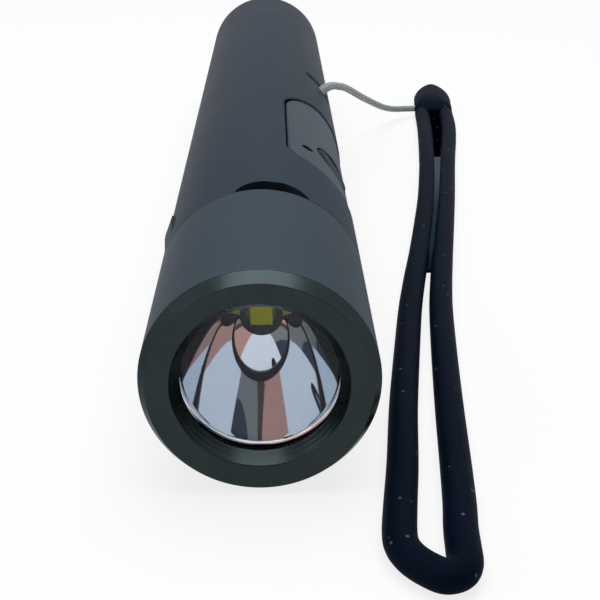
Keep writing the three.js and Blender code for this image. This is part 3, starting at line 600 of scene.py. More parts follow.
def cut(mesh, tool, operation="DIFFERENCE"):
    """The mesh after one cut, and the tool is thrown away."""
    pair = [bpy.data.objects.new(m.name, m) for m in (mesh, tool)]
    for one in pair:
        scene.collection.objects.link(one)
    knife = pair[0].modifiers.new("cut", "BOOLEAN")
    knife.operation = operation
    knife.object = pair[1]
    knife.solver = "EXACT"
    graph = bpy.context.evaluated_depsgraph_get()
    done = bpy.data.meshes.new_from_object(pair[0].evaluated_get(graph))
    for one in pair:
        bpy.data.objects.remove(one)
    bpy.data.meshes.remove(tool)
    return smoothed(done)


def true_round(mesh, radius):
    """Exact normals on the round outside, where cuts leave uneven faces."""
    axis = on_torch(0, 0, 0)
    normals = [Vector(corner.vector) for corner in mesh.corner_normals]
    for face in mesh.polygons:
        spokes = [(mesh.vertices[v].co - axis) * Vector((1, 0, 1)) for v in face.vertices]
        if all(abs(spoke.length - radius * MM) < 0.01 * MM for spoke in spokes):
            for corner, spoke in zip(face.loop_indices, spokes):
                normals[corner] = spoke.normalized()
    mesh.normals_split_custom_set(normals)
    return mesh


def notch_shape(grow):
    """The relief for the plug, open at the tube's front edge."""
    return rounded_outline(NOTCH_W + 2 * grow, TUBE_FRONT - NOTCH_PAST - grow, NOTCH_END + grow,
                           NOTCH_CORNER, NOTCH_R + grow)


def pad_shape(grow):
    """The pad's outline, grown on every side."""
    return rounded_outline(PAD_W + 2 * grow, PAD_FRONT - grow, PAD_BACK + grow, PAD_FRONT_R + grow,
                           PAD_REAR_R + grow)


def pocket_shape(grow):
    """The pad's pocket, with the gap round the pad."""
    return pad_shape(PAD_GAP + grow)


def slot_shape(grow):
    """The lanyard slot: a short arc round the tube with round ends."""
    half, reach = BODY_R * math.sin(math.radians(SLOT_HALF_ARC)) + grow, SLOT_W / 2 + grow
    return rounded_outline(2 * half, SLOT_AT - reach, SLOT_AT + reach, ROUND_END * reach, ROUND_END * reach)


def floored(tool, floor_r):
    """A cutter that stops at a radius, so the pocket's floor follows the tube."""
    return cut(tool, turned("floor", band(0, floor_r, 1, TORCH_LEN - 1), 0))


place_on_pad = on_side(PAD_ANGLE)


def on_pad(station, across=0.0):
    """Places a turned outline about a line square to the pad."""
    return lambda r, a, h: place_on_pad(across + r * math.cos(a), h, station + r * math.sin(a))


def drilled(mesh, diameter, station, across=0.0):
    """A round hole square to the pad, right through the wall."""
    drill = band(0, diameter / 2, DRILL_LOW, DRILL_HIGH)
    return cut(mesh, turned("drill", drill, 0, DRILL_SIDES, on_pad(station, across)))


EDGE_TINT = linear("#BCBCBF")


def anodised(name, colour, wear_and_sheen, grain_mm, roughness):
    """Bead-blasted, anodised aluminium: satin, with a fine even grain and faint handling marks.

    The grain is drawn at a few times its real size, so that it shows.
    """
    metal, tree, shade, place = new_finish(name)
    cloud = add_node(tree, "ShaderNodeTexNoise",
                     {"Vector": place, "Scale": 1 / (18 * MM), "Detail": 4.0}).outputs[0]
    grain = add_node(tree, "ShaderNodeTexNoise",
                     {"Vector": place, "Scale": 1 / (grain_mm * MM), "Detail": 2.0}).outputs[0]
    mark = add_node(tree, "ShaderNodeMapRange",
                    {"Value": cloud, "From Min": 0.45, "From Max": 0.8, "To Max": 0.3})
    tint = add_node(tree, "ShaderNodeMix",
                    {0: mark.outputs[0], 6: linear(colour), 7: linear(wear_and_sheen)}, data_type="RGBA")
    rough = add_node(tree, "ShaderNodeMapRange",
                     {"Value": cloud, "To Min": roughness - 0.05, "To Max": roughness + 0.07})
    bump = add_node(tree, "ShaderNodeBump", {"Height": grain, "Strength": 0.12, "Distance": 0.04 * MM})
    feed(tree, shade, {"Base Color": tint.outputs[2], "Roughness": rough.outputs[0],
                       "Normal": bump.outputs[0], "Metallic": 1.0, "Specular Tint": EDGE_TINT})
    return metal


body_metal = anodised("anodised_body_aluminium", "#38414B", "#404A54", 0.25, 0.46)
tube = turned("tube", [
    (SEAT_R, TUBE_FRONT), (BODY_R, TUBE_FRONT), (BODY_R, TUBE_BACK), (SEAT_R, TUBE_BACK),
    (SEAT_R, CAP_SEAT), (BORE_R, CAP_SEAT), (BORE_R, NECK_SEAT), (SEAT_R, NECK_SEAT)])
tube = cut(tube, side_block("notch", notch_shape, PORT_ANGLE, BODY_R, NOTCH_FLARE, False))
pocket = side_block("pocket", pocket_shape, PAD_ANGLE, BODY_R, POCKET_FLARE)
tube = cut(tube, floored(pocket, POCKET_FLOOR))
slot = side_block("slot", slot_shape, PAD_ANGLE, BODY_R, SLOT_FLARE)
tube = cut(tube, floored(slot, SLOT_FLOOR))
tube = drilled(tube, 2 * (BUTTON_FLANGE_R + FIT), BUTTON_AT)
tube = drilled(tube, LIGHT_D + 2 * LIGHT_GAP, LIGHT_AT, LIGHT_SIDE)
rib_place = on_side(RIB_ANGLE)
rib_root, rib_top = BODY_R - RIB_H, BODY_R + RIB_H
rib_profile = [(RIB_FRONT, rib_root), (RIB_BACK, rib_root), (RIB_BACK, rib_top - RIB_BREAK_H),
               (RIB_BACK - RIB_BREAK_LEN, rib_top), (RIB_FRONT + RIB_RISE, rib_top)]
rib = lofted("rib", [[rib_place(x, h, s) for s, h in rib_profile] for x in (-RIB_W / 2, RIB_W / 2)])
tube = cut(tube, rib, "UNION")
piece_of("main_tube", true_round(tube, BODY_R), body_metal, "torch", "anodised_body", "body_tube")

# Head sleeve: a short turned tube with the same finish, a touch lighter than the body.
# It slides on the black neck, and its wide bore holds the mirror and the front ring's skirt.
SLEEVE_FRONT, SLEEVE_BACK, SLEEVE_BORE, SLEEVE_EDGE = 1.62, 25.45, 10.7, 0.05
SEAL_FRONT, SEAL_BACK, SEAL_GROOVE_R = 20.25, 21.85, 11.2
WIDE_BORE, WIDE_END = 11.1, 18.55
head_metal = anodised("anodised_head_aluminium", "#424E56", "#4A565E", 0.25, 0.44)
sleeve = turned("sliding_sleeve", [
    (BODY_R, SLEEVE_FRONT), (BODY_R, SLEEVE_BACK), (SLEEVE_BORE, SLEEVE_BACK), (SLEEVE_BORE, SEAL_BACK),
    (SEAL_GROOVE_R, SEAL_BACK), (SEAL_GROOVE_R, SEAL_FRONT), (SLEEVE_BORE, SEAL_FRONT),
    (SLEEVE_BORE, WIDE_END), (WIDE_BORE, WIDE_END), (WIDE_BORE, SLEEVE_FRONT)], SLEEVE_EDGE)
piece_of("sliding_sleeve", sleeve, head_metal, "head", "anodised_head", "head_sleeve")

# Front ring: a turned aluminium bezel with an outer chamfer, a dished face and a bevel down to the glass.
# It is anodised dark olive, and the cutting tool's fine rings still show on it.
WINDOW_R, FACE_R, RIM_R = 7.92, 8.9, 11.14
FACE_DISH, CHAMFER_END, BEVEL_END, RING_SEAT = 0.5, 1.55, 1.96, 2.26
SKIRT_R, SKIRT_BORE, SKIRT_BACK = 10.8, 9.72, 8
RING_EDGE = 0.07
TOOL_RING_MM = 0.3


def turned_metal(name, colours, roughness):
    """Turned, anodised aluminium: fine rings about the axis that stretch the highlights.

    The rings are drawn at a few times their real spacing, so that they show.
    """
    metal, tree, shade, place = new_finish(name)
    centred = add_node(tree, "ShaderNodeMapping",
                       {"Vector": place, "Location": (0, 0, -AXIS_Z)}).outputs[0]
    rings = add_node(tree, "ShaderNodeTexWave",
                     {"Vector": centred, "Scale": 2 * math.pi / (20 * TOOL_RING_MM * MM),
                      "Distortion": 1.5, "Detail": 2.0},
                     wave_type="RINGS", rings_direction="Y").outputs[1]
    cloud = add_node(tree, "ShaderNodeTexNoise",
                     {"Vector": place, "Scale": 1 / (3 * MM), "Detail": 4.0}).outputs[0]
    tint = add_node(tree, "ShaderNodeMix",
                    {0: cloud, 6: linear(colours[0]), 7: linear(colours[1])}, data_type="RGBA")
    bump = add_node(tree, "ShaderNodeBump", {"Height": rings, "Strength": 0.15, "Distance": 0.03 * MM})
    rough = add_node(tree, "ShaderNodeMapRange",
                     {"Value": cloud, "To Min": roughness - 0.06, "To Max": roughness + 0.06})
    feed(tree, shade, {"Base Color": tint.outputs[2], "Roughness": rough.outputs[0],
                       "Normal": bump.outputs[0], "Metallic": 1.0, "Specular Tint": EDGE_TINT})
    return metal


bezel_metal = turned_metal("turned_olive_aluminium", ("#282F31", "#313A3B"), 0.28)
bezel = turned("front_ring", [
    (WINDOW_R, RING_SEAT), (WINDOW_R, BEVEL_END), (FACE_R, FACE_DISH), (RIM_R, 0), (BODY_R, CHAMFER_END),
    (SKIRT_R, CHAMFER_END), (SKIRT_R, SKIRT_BACK), (SKIRT_BORE, SKIRT_BACK), (SKIRT_BORE, RING_SEAT)],
    RING_EDGE)
piece_of("front_ring", bezel, bezel_metal, "head", "anodised_bezel", "bezel_ring")

# Window: a flat glass disc with a ground edge, held against a black gasket behind the front ring.
# The glass is clear with a dark anti-reflection coat, and a thin film on it softens some reflections.
# The gasket is matte rubber and shows as a thin black line.
GLASS_R, GLASS_FRONT, GLASS_BACK, GLASS_EDGE = 9.42, 2.86, 3.66, 0.2
GASKET_BORE, GASKET_FRONT, GASKET_BACK, GASKET_EDGE = 8.0, 2.41, 2.71, 0.1


def plain_finish(name, colours, mottle_mm, roughness, bump_mm=0.0, metallic=0.0, gloss=0.5):
    """A moulded or plated finish with slight mottling in its colour and gloss, and an optional grain."""
    made, tree, shade, place = new_finish(name)
    mottle = add_node(tree, "ShaderNodeTexNoise",
                      {"Vector": place, "Scale": 1 / (mottle_mm * MM), "Detail": 3.0}).outputs[0]
    tint = add_node(tree, "ShaderNodeMix",
                    {0: mottle, 6: linear(colours[0]), 7: linear(colours[1])}, data_type="RGBA")
    rough = add_node(tree, "ShaderNodeMapRange",
                     {"Value": mottle, "To Min": roughness - 0.06, "To Max": roughness + 0.06})
    feed(tree, shade, {"Base Color": tint.outputs[2], "Roughness": rough.outputs[0],
                       "Metallic": metallic, "Specular IOR Level": gloss})
    if bump_mm:
        bump = add_node(tree, "ShaderNodeBump",
                        {"Height": mottle, "Strength": 0.4, "Distance": bump_mm * MM})
        feed(tree, shade, {"Normal": bump.outputs[0]})
    return made


glass, glass_tree, glass_shade, glass_place = new_finish("clear_window_glass")
glass_film = add_node(glass_tree, "ShaderNodeTexNoise",
                      {"Vector": glass_place, "Scale": 1 / (2 * MM), "Detail": 3.0}).outputs[0]
glass_rough = add_node(glass_tree, "ShaderNodeMapRange",
                       {"Value": glass_film, "From Min": 0.55, "From Max": 0.9, "To Max": 0.04})
feed(glass_tree, glass_shade, {"Base Color": linear("#FCFDFF"), "Roughness": glass_rough.outputs[0],
                               "Transmission Weight": 1.0, "IOR": 1.5, "Specular IOR Level": 0.1,
                               "Specular Tint": linear("#898990")})
glass_mesh = turned("window_glass", band(0, GLASS_R, GLASS_FRONT, GLASS_BACK), GLASS_EDGE)
piece_of("window_glass", glass_mesh, glass, "head", "lens_glass", "lens")
gasket_rubber = plain_finish("black_gasket_rubber", ("#08090A", "#101113"), 0.5, 0.8, 0.03, gloss=0.08)
gasket_mesh = turned("window_gasket", band(GASKET_BORE, GLASS_R, GASKET_FRONT, GASKET_BACK), GASKET_EDGE)
piece_of("window_gasket", gasket_mesh, gasket_rubber, "head", "seal_rubber", "lens_gasket")

# Mirror: a deep smooth paraboloid, moulded and then coated with bright aluminium.
# Its rim turns over in a small round lip to the flange behind the glass.
# The coating is slightly blue, and has a few pinholes and hairline flow marks.
MIRROR_FRONT, MIRROR_BACK, MIRROR_RIM, MIRROR_HOLE, MIRROR_WALL = 3.96, 17.5, 8.2, 2.4, 0.9
MIRROR_LIP, MIRROR_FLANGE_BACK = 0.55, 5.36
MIRROR_STEPS, OUTSIDE_EVERY, LIP_STEPS = 48, 6, 8
mirror_len = MIRROR_BACK - MIRROR_FRONT
mirror_inside = []
for step in range(MIRROR_STEPS + 1):
    station = MIRROR_FRONT + MIRROR_LIP + (mirror_len - MIRROR_LIP) * step / MIRROR_STEPS
    spread = (MIRROR_RIM ** 2 - MIRROR_HOLE ** 2) * (MIRROR_BACK - station) / mirror_len
    mirror_inside.append((math.sqrt(MIRROR_HOLE ** 2 + spread), station))
mirror_outside = [(r + MIRROR_WALL, s) for r, s in mirror_inside[::OUTSIDE_EVERY] if s > MIRROR_FLANGE_BACK]
mirror_lip = []
for step in range(1, LIP_STEPS + 1):
    a = math.pi / 2 * step / LIP_STEPS
    mirror_lip.append((mirror_inside[0][0] + MIRROR_LIP * (1 - math.cos(a)),
                       MIRROR_FRONT + MIRROR_LIP * (1 - math.sin(a))))
mirror_coat, coat_tree, coat_shade, coat_place = new_finish("aluminised_mirror_coat")
coat_speck = add_node(coat_tree, "ShaderNodeTexVoronoi", {"Vector": coat_place, "Scale": 1 / (1.1 * MM)})
coat_dot = add_node(coat_tree, "ShaderNodeMapRange",
                    {"Value": coat_speck.outputs["Distance"], "From Min": 0.07, "From Max": 0.04,
                     "To Max": 0.5})
coat_tint = add_node(coat_tree, "ShaderNodeMix",
                     {0: coat_dot.outputs[0], 6: linear("#DDE3E9"), 7: linear("#6E747C")}, data_type="RGBA")
coat_flow = add_node(coat_tree, "ShaderNodeTexNoise",
                     {"Vector": coat_place, "Scale": 1 / (2.5 * MM), "Detail": 2.0})
coat_bump = add_node(coat_tree, "ShaderNodeBump",
                     {"Height": coat_flow.outputs[0], "Strength": 0.02, "Distance": 0.1 * MM})
feed(coat_tree, coat_shade, {"Base Color": coat_tint.outputs[2], "Normal": coat_bump.outputs[0],
                             "Metallic": 1.0, "Roughness": 0.03})
mirror = turned("mirror_bowl", [
    *mirror_inside, *reversed(mirror_outside), (mirror_outside[0][0], MIRROR_FLANGE_BACK),
    (GLASS_R, MIRROR_FLANGE_BACK), (GLASS_R, MIRROR_FRONT), *reversed(mirror_lip)], 0)
piece_of("mirror_bowl", mirror, mirror_coat, "head", "mirror_coat", "reflector")

# Light chip: a square of yellow phosphor on a white ceramic base, a fine crystal powder set in clear resin.
# A grey moulded ring round it centres the mirror, and its front lip hides the ceramic.
CHIP_SPREAD = Vector((1.14, 1, 1.14))
CHIP_EDGE = 0.08 * MM
CENTRE_LIP_R, CENTRE_BORE, CENTRE_R = 1.62, 1.99, 3.2
CENTRE_FRONT, CENTRE_LIP_BACK, CENTRE_BACK, CENTRE_EDGE = 17.8, 18.0, 18.55, 0.08
SMALL_SIDES = 96
phosphor = plain_finish("yellow_phosphor", ("#CFDF1E", "#DDE838"), 0.3, 0.6, 0.03, gloss=0.15)
chip_low, chip_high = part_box("led_phosphor")
chip_bm = bmesh.new()
bmesh.ops.create_cube(chip_bm, size=1.0)
bmesh.ops.scale(chip_bm, verts=chip_bm.verts, vec=(chip_high - chip_low) * CHIP_SPREAD)
bmesh.ops.translate(chip_bm, verts=chip_bm.verts, vec=(chip_low + chip_high) / 2)
bmesh.ops.bevel(chip_bm, geom=chip_bm.edges, offset=CHIP_EDGE, segments=3, affect="EDGES")
chip_mesh = bpy.data.meshes.new("phosphor_chip")
chip_bm.to_mesh(chip_mesh)
chip_bm.free()
piece_of("phosphor_chip", smoothed(chip_mesh), phosphor, "torch", "phosphor", "led_phosphor")
grey_plastic = plain_finish("grey_moulded_plastic", ("#3E444A", "#4A5056"), 0.8, 0.5, 0.02, gloss=0.2)
ring_mesh = turned("centring_ring", [
    (CENTRE_LIP_R, CENTRE_FRONT), (CENTRE_R, CENTRE_FRONT), (CENTRE_R, CENTRE_BACK),
    (CENTRE_BORE, CENTRE_BACK), (CENTRE_BORE, CENTRE_LIP_BACK), (CENTRE_LIP_R, CENTRE_LIP_BACK)],
    CENTRE_EDGE, SMALL_SIDES)
piece_of("centring_ring", ring_mesh, grey_plastic, "torch", "grey_plastic", "led_centring_ring")

# Neck: the inner tube that the head slides on, anodised black, with a window for the charging socket.
# A steel snap ring in its front groove stops the head.
NECK_R, NECK_BORE, NECK_FRONT, NECK_BACK = 10.4, 9.0, 9, 40.1
STOP_R, STOP_FRONT, STOP_BACK = 10.0, 9.3, 10.6
PORT_AT, PORT_W, PORT_H, PORT_FLARE = 24.15, 8.94, 3.2, 0.12


def port_shape(grow):
    """The charging socket's outline, grown on every side."""
    half = PORT_H / 2 + grow
    return rounded_outline(PORT_W + 2 * grow, PORT_AT - half, PORT_AT + half, ROUND_END * half,
                           ROUND_END * half)


def port_window_shape(grow):
    """The neck's window, with clearance round the socket."""
    return port_shape(FIT + grow)


black_metal = anodised("black_anodised_aluminium", "#0A0B0D", "#121416", 0.25, 0.5)
neck = turned("neck", [
    (NECK_BORE, NECK_FRONT), (NECK_R, NECK_FRONT), (NECK_R, STOP_FRONT), (STOP_R, STOP_FRONT),
    (STOP_R, STOP_BACK), (NECK_R, STOP_BACK), (NECK_R, NECK_BACK), (NECK_BORE, NECK_BACK)])
neck = cut(neck, side_block("window", port_window_shape, PORT_ANGLE, NECK_R, PORT_FLARE, False))
piece_of("sliding_neck", neck, black_metal, "torch", "black_anodised", "neck_tube")

# Charging socket: a shell drawn from bright steel, with rounded ends and a softly broken mouth.
# It sits in the neck under the sleeve's rear edge, and shows when the head is slid forward.
PORT_TOP, PORT_FLOOR, PORT_SHELL = 9.09, 2.09, 0.3
SHELL_EDGE, MOUTH_EDGE = 0.1, 0.08
port_place = on_side(PORT_ANGLE)


def port_ring(inset, height):
    """The socket's outline at one height above the axis."""
    return [port_place(x, height, s) for x, s in port_shape(-inset)]


steel = plain_finish("bright_steel", ("#A9ADB1", "#B9BDC1"), 1.5, 0.28, 0.0, 1.0)
socket = lofted("socket", [
    port_ring(SHELL_EDGE, PORT_FLOOR), port_ring(0, PORT_FLOOR + SHELL_EDGE),
    port_ring(0, PORT_TOP - SHELL_EDGE), port_ring(SHELL_EDGE, PORT_TOP),
    port_ring(PORT_SHELL - MOUTH_EDGE, PORT_TOP), port_ring(PORT_SHELL, PORT_TOP - MOUTH_EDGE),
    port_ring(PORT_SHELL, PORT_FLOOR + 2 * PORT_SHELL)])
piece_of("socket_shell", smoothed(socket), steel, "torch", "steel", "charging_socket")

# Socket tongue: black moulded plastic that carries two rows of flat gold contacts.
# Each row is one strip repeated at an even pitch, let into the tongue's face.
TONGUE_W, TONGUE_T, TONGUE_R, TONGUE_LOW, TONGUE_HIGH = 6.6, 0.7, 0.2, 2.8, 7.4
CONTACTS, CONTACT_PITCH, CONTACT_W, CONTACT_LEN, CONTACT_T = 12, 0.5, 0.26, 3.2, 0.1
CONTACT_INSET = 0.3


def node_group(name, sizes):
    """An empty geometry tree with a named input for each size, its input sockets and its last node."""
    tree = bpy.data.node_groups.new(name, "GeometryNodeTree")
    tree.interface.new_socket("Geometry", in_out="OUTPUT", socket_type="NodeSocketGeometry")
    for label, value in sizes.items():
        kind = "NodeSocketInt" if isinstance(value, int) else "NodeSocketFloat"
        tree.interface.new_socket(label, in_out="INPUT", socket_type=kind)
    return tree, tree.nodes.new("NodeGroupInput").outputs, tree.nodes.new("NodeGroupOutput")


def grown(tree, sizes, matrix):
    """The plain mesh that a geometry tree makes from these sizes, moved to its place."""
    seed = bpy.data.objects.new(tree.name, bpy.data.meshes.new(tree.name))
    scene.collection.objects.link(seed)
    maker = seed.modifiers.new("maker", "NODES")
    maker.node_group = tree
    for item in tree.interface.items_tree:
        if item.in_out == "INPUT":
            maker[item.identifier] = sizes[item.name]
    graph = bpy.context.evaluated_depsgraph_get()
    mesh = bpy.data.meshes.new_from_object(seed.evaluated_get(graph))
    seed.modifiers.remove(maker)
    bpy.data.objects.remove(seed)
    mesh.transform(matrix)
    return mesh


def ended(tree, made, last, material):
    """Closes a tree with Realize Instances and Set Material."""
    real = add_node(tree, "GeometryNodeRealizeInstances", {0: made})
    painted = add_node(tree, "GeometryNodeSetMaterial", {0: real.outputs[0], "Material": material})
    feed(tree, last, {0: painted.outputs[0]})


def placed(centre, across, up, along):
    """A matrix whose axes run along those directions, at that place."""
    return Matrix.Translation(centre) @ Matrix((across, up, along)).transposed().to_4x4()


def joined(name, *meshes):
    """Several meshes as one."""
    bm = bmesh.new()
    for mesh in meshes:
        bm.from_mesh(mesh)
    whole = bpy.data.meshes.new(name)
    bm.to_mesh(whole)
    bm.free()
    return smoothed(whole)


gold = plain_finish("gold_contact_plate", ("#C79A3C", "#D8AE54"), 0.4, 0.25, 0.0, 1.0)
tongue_plastic = plain_finish("black_tongue_plastic", ("#0C0D0E", "#121314"), 0.4, 0.5, 0.02)
tongue_shape = rounded_outline(TONGUE_W, PORT_AT - TONGUE_T / 2, PORT_AT + TONGUE_T / 2, TONGUE_R, TONGUE_R)
tongue_rings = [[port_place(x, h, s) for x, s in tongue_shape] for h in (TONGUE_LOW, TONGUE_HIGH)]
piece_of("port_tongue", smoothed(lofted("port_tongue", tongue_rings)), tongue_plastic,
         "torch", "black_plastic", "socket_tongue")
row_sizes = {"Count": CONTACTS, "Pitch": CONTACT_PITCH * MM, "Width": CONTACT_W * MM,
             "Length": CONTACT_LEN * MM, "Thickness": CONTACT_T * MM}
row_tree, row_in, row_last = node_group("contact_row", row_sizes)
row_step = add_node(row_tree, "ShaderNodeCombineXYZ", {0: row_in["Pitch"]}).outputs[0]
row_line = add_node(row_tree, "GeometryNodeMeshLine",
                    {"Count": row_in["Count"], "Offset": row_step}, mode="OFFSET")
strip_size = add_node(row_tree, "ShaderNodeCombineXYZ",
                      {0: row_in["Width"], 1: row_in["Length"], 2: row_in["Thickness"]}).outputs[0]
strip = add_node(row_tree, "GeometryNodeMeshCube", {"Size": strip_size})
strips = add_node(row_tree, "GeometryNodeInstanceOnPoints",
                  {"Points": row_line.outputs[0], "Instance": strip.outputs[0]})
ended(row_tree, strips.outputs[0], row_last, gold)
port_across = (port_place(1, 0, 0) - port_place(0, 0, 0)).normalized()
port_up = (port_place(0, 1, 0) - port_place(0, 0, 0)).normalized()
port_along = port_across.cross(port_up)
row_meshes = []
for face in (-1, 1):
    row_start = port_place(-CONTACT_PITCH * (CONTACTS - 1) / 2,
                           TONGUE_HIGH - CONTACT_INSET - CONTACT_LEN / 2, PORT_AT + face * TONGUE_T / 2)
    row_meshes.append(grown(row_tree, row_sizes, placed(row_start, port_across, port_up, port_along)))
piece_of("contact_rows", joined("contact_rows", *row_meshes), gold, "torch", "brass")

# Button pad: a curved plastic plate let into the tube's side, with a fine moulded texture.
# A round rubber button and a smoked, matte light window sit in holes through it.
PAD_OUTER, PAD_T, PAD_FLARE, BLANK_PAST = 11.75, 0.75, -0.18, 3
BUTTON_LOW, FLANGE_TOP, SHOULDER, CROWN_SIDE, CROWN_TOP = 9.37, 9.82, 11.35, 11.62, 11.65
CROWN_R, BUTTON_EDGE = 2.9, 0.25
LIGHT_LOW, LIGHT_BLANK, LIGHT_SINK = 5.53, 13, 0.08
blank_front, blank_back = PAD_FRONT - BLANK_PAST, PAD_BACK + BLANK_PAST
pad_plastic = plain_finish("textured_pad_plastic", ("#27343F", "#303D49"), 0.35, 0.55, 0.05, gloss=0.12)
pad = turned("pad", band(PAD_OUTER - PAD_T, PAD_OUTER, blank_front, blank_back), 0)
pad = cut(pad, side_block("pad_edge", pad_shape, PAD_ANGLE, PAD_OUTER, PAD_FLARE), "INTERSECT")
pad = drilled(pad, BUTTON_D + 2 * FIT, BUTTON_AT)
pad = drilled(pad, LIGHT_D + 2 * LIGHT_GAP, LIGHT_AT, LIGHT_SIDE)
piece_of("side_pad", true_round(pad, PAD_OUTER), pad_plastic, "torch", "pad_plastic", "button_pad")
button_rubber = plain_finish("moulded_button_rubber", ("#182028", "#202932"), 0.4, 0.6, 0.04, gloss=0.06)
button = turned("push_button", [
    (0, BUTTON_LOW), (BUTTON_FLANGE_R, BUTTON_LOW), (BUTTON_FLANGE_R, FLANGE_TOP),
    (BUTTON_D / 2, FLANGE_TOP), (BUTTON_D / 2, SHOULDER), (CROWN_R, CROWN_SIDE), (0, CROWN_TOP)],
    BUTTON_EDGE, SMALL_SIDES, on_pad(BUTTON_AT))
piece_of("push_button", button, button_rubber, "button", "button_rubber", "power_button")
smoked = plain_finish("smoked_window_plastic", ("#0A0C0E", "#101316"), 0.6, 0.6, gloss=0.0)
dot = turned("light_window", band(0, LIGHT_D / 2, LIGHT_LOW, LIGHT_BLANK), 0, DRILL_SIDES,
             on_pad(LIGHT_AT, LIGHT_SIDE))
flush_face = turned("flush_face", band(0, PAD_OUTER - LIGHT_SINK, blank_front, blank_back), 0)
dot = cut(dot, flush_face, "INTERSECT")
piece_of("light_window", dot, smoked, "torch", "smoked_window", "status_light")

# Lanyard anchor: a black moulded insert in the tube's slot, which holds the end of the tether.
# It follows the tube's curve, a little below its surface.
ANCHOR_LOW, ANCHOR_HIGH, ANCHOR_FLARE, ANCHOR_REACH = 10.3, 11.4, -0.2, 4


def anchor_shape(grow):
    """The slot's outline, less the clearance round the insert."""
    return slot_shape(grow - FIT)


anchor_plastic = plain_finish("black_moulded_plastic", ("#101214", "#181B1E"), 0.6, 0.5, 0.03)
anchor = turned("anchor", band(ANCHOR_LOW, ANCHOR_HIGH, SLOT_AT - ANCHOR_REACH, SLOT_AT + ANCHOR_REACH), 0)
anchor_edge = side_block("anchor_edge", anchor_shape, PAD_ANGLE, ANCHOR_HIGH, ANCHOR_FLARE)
anchor = cut(anchor, anchor_edge, "INTERSECT")
piece_of("tether_anchor", anchor, anchor_plastic, "torch", "black_plastic", "lanyard_anchor")

# Tail cap: a turned aluminium cap with a rounded end, whose spigot screws into the tube.
# An O-ring, a spring, a contact board and a magnet come away with it.
SPIGOT_FRONT, SPIGOT_R, CAP_FRONT, CAP_CHAMFER, CAP_EDGE = 141.1, 10.4, 150.95, 0.8, 0.35
GROOVE_FRONT, GROOVE_BACK, GROOVE_R = 147.5, 149.1, 9.9
MAGNET_FRONT, MAGNET_END, MAGNET_R = 158.8, 164, 7.3
CAP_SEAL_BORE, CAP_SEAL_R, CAP_SEAL_PLAY, CAP_SEAL_EDGE = 10.0, 10.58, 0.15, 0.28
cap = turned("screw_cap", [
    (BORE_R, SPIGOT_FRONT), (SPIGOT_R, SPIGOT_FRONT), (SPIGOT_R, GROOVE_FRONT), (GROOVE_R, GROOVE_FRONT),
    (GROOVE_R, GROOVE_BACK), (SPIGOT_R, GROOVE_BACK), (SPIGOT_R, CAP_FRONT), (BODY_R, CAP_FRONT),
    (BODY_R, TORCH_LEN - CAP_CHAMFER), (BODY_R - CAP_CHAMFER, TORCH_LEN), (0, TORCH_LEN), (0, MAGNET_END),
    (MAGNET_R, MAGNET_END), (MAGNET_R, MAGNET_FRONT), (BORE_R, MAGNET_FRONT)], CAP_EDGE)
piece_of("screw_cap", cap, body_metal, "tail", "anodised_body", "tail_cap")
seal_mesh = turned("cap_seal", band(CAP_SEAL_BORE, CAP_SEAL_R, GROOVE_FRONT + CAP_SEAL_PLAY,
                                    GROOVE_BACK - CAP_SEAL_PLAY), CAP_SEAL_EDGE)
piece_of("cap_seal", seal_mesh, gasket_rubber, "tail", "seal_rubber", "tail_seal")

# Tail spring and thread: a brass wire wound to a narrow tip, and a ridge wound round the cap's spigot.
# Both follow one rule, a spiral with its own turns, radii, height and wire.
COIL_STEPS, COIL_SIDES = 40, 16
SPRING = {"station": 147.5, "turns": 4.0, "start": 5.05, "end": 2.55, "height": 8.6, "wire": 0.45}
THREAD = {"station": 141.7, "turns": 7.0, "start": 10.38, "end": 10.38, "height": 5.3, "wire": 0.2}
coil_inputs = {"Turns": 1.0, "Steps": COIL_STEPS, "Start": 1.0, "End": 1.0, "Height": 1.0, "Wire": 1.0}
coil_tree, coil_in, coil_last = node_group("wound_wire", coil_inputs)
coil_line = add_node(coil_tree, "GeometryNodeCurveSpiral",
                     {"Resolution": coil_in["Steps"], "Rotations": coil_in["Turns"],
                      "Start Radius": coil_in["Start"], "End Radius": coil_in["End"],
                      "Height": coil_in["Height"]})
coil_round = add_node(coil_tree, "GeometryNodeCurvePrimitiveCircle",
                      {"Resolution": COIL_SIDES, "Radius": coil_in["Wire"]})
coil_wire = add_node(coil_tree, "GeometryNodeCurveToMesh",
                     {"Curve": coil_line.outputs[0], "Profile Curve": coil_round.outputs[0],
                      "Fill Caps": True})
wire_brass = plain_finish("drawn_brass_wire", ("#B0904A", "#C4A45A"), 1.5, 0.3, 0.0, 1.0)
ended(coil_tree, coil_wire.outputs[0], coil_last, wire_brass)


def wound(name, station, turns, start, end, height, wire):
    """A wire wound about the torch's axis from one station, in millimetres."""
    sizes = {"Turns": turns, "Steps": COIL_STEPS, "Start": start * MM, "End": end * MM,
             "Height": height * MM, "Wire": wire * MM}
    along = placed(on_torch(0, 0, station), Vector((-1, 0, 0)), Vector((0, 0, 1)), Vector((0, 1, 0)))
    return joined(name, grown(coil_tree, sizes, along))


piece_of("wound_spring", wound("wound_spring", **SPRING), wire_brass, "tail", "brass", "tail_spring")
piece_of("spigot_thread", wound("spigot_thread", **THREAD), body_metal, "tail", "anodised_body")

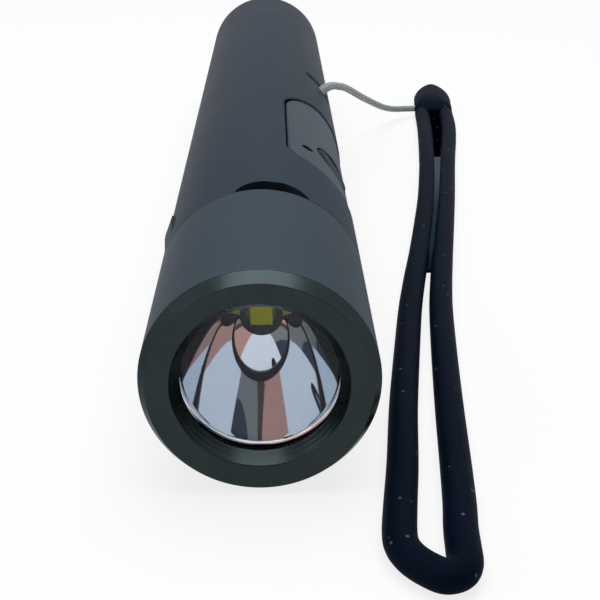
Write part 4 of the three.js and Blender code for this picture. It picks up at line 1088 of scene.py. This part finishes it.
# Cell: a lithium cell in a blue shrink wrap that folds over its rear rim.
# Its bare steel end shows when the tail cap is off.
CELL_R, CELL_FRONT, CELL_BACK, CELL_EDGE = 9.1, 82.8, 146.3, 0.4
FOLD_R, FOLD_FOOT_R, FOLD_T = 7.6, 7.55, 0.25
CELL_END_R, CELL_END_FRONT, CELL_END_BACK, CELL_END_EDGE = 7.5, 145.9, 146.15, 0.05
wrap = plain_finish("blue_shrink_wrap", ("#2A6A8C", "#32769A"), 4.0, 0.35)
cell = turned("wrapped_cell", [
    (0, CELL_FRONT), (CELL_R, CELL_FRONT), (CELL_R, CELL_BACK), (FOLD_R, CELL_BACK),
    (FOLD_FOOT_R, CELL_BACK - FOLD_T), (0, CELL_BACK - FOLD_T)], CELL_EDGE)
piece_of("wrapped_cell", cell, wrap, "torch", "cell_wrap", "battery_cell")
cell_end = turned("cell_end", band(0, CELL_END_R, CELL_END_FRONT, CELL_END_BACK), CELL_END_EDGE)
piece_of("cell_end", cell_end, steel, "torch", "steel")

# Inner pieces: boards, contacts, screws, seals and wires that stay inside the closed tube.
# Their solids are kept as they are, and each gets the finish of its real material, except the white ceramic,
# which is painted grey as shade.
INNER_FINISHES = {
    "steel": steel,
    "black_plastic": anchor_plastic,
    "seal_rubber": gasket_rubber,
    "green_board": plain_finish("green_solder_mask", ("#1B4A33", "#225A3E"), 1.2, 0.35, 0.02),
    "brass": plain_finish("satin_brass", ("#B0904A", "#C4A45A"), 1.5, 0.3, 0.0, 1.0),
    "plated_magnet": plain_finish("nickel_plate", ("#B4B4B6", "#C2C2C4"), 2.0, 0.2, 0.0, 1.0),
    "white_board": plain_finish("white_solder_mask", ("#D8D8D4", "#E2E2DE"), 1.0, 0.4),
    # The white ceramic is painted grey: painted shade for the chip's base, deep in the mirror.
    "white_ceramic": plain_finish("white_ceramic", ("#8E8F8A", "#9A9B96"), 0.8, 0.45),
    "red_wire": plain_finish("red_wire_sheath", ("#8E1D1A", "#A02824"), 0.8, 0.4),
}
for row in frame["record"]["subparts"]:
    solid = frame["nodes"][row["node"]]
    if not solid.hide_render:
        solid.data.materials.clear()
        solid.data.materials.append(INNER_FINISHES[row["material_slot"]])
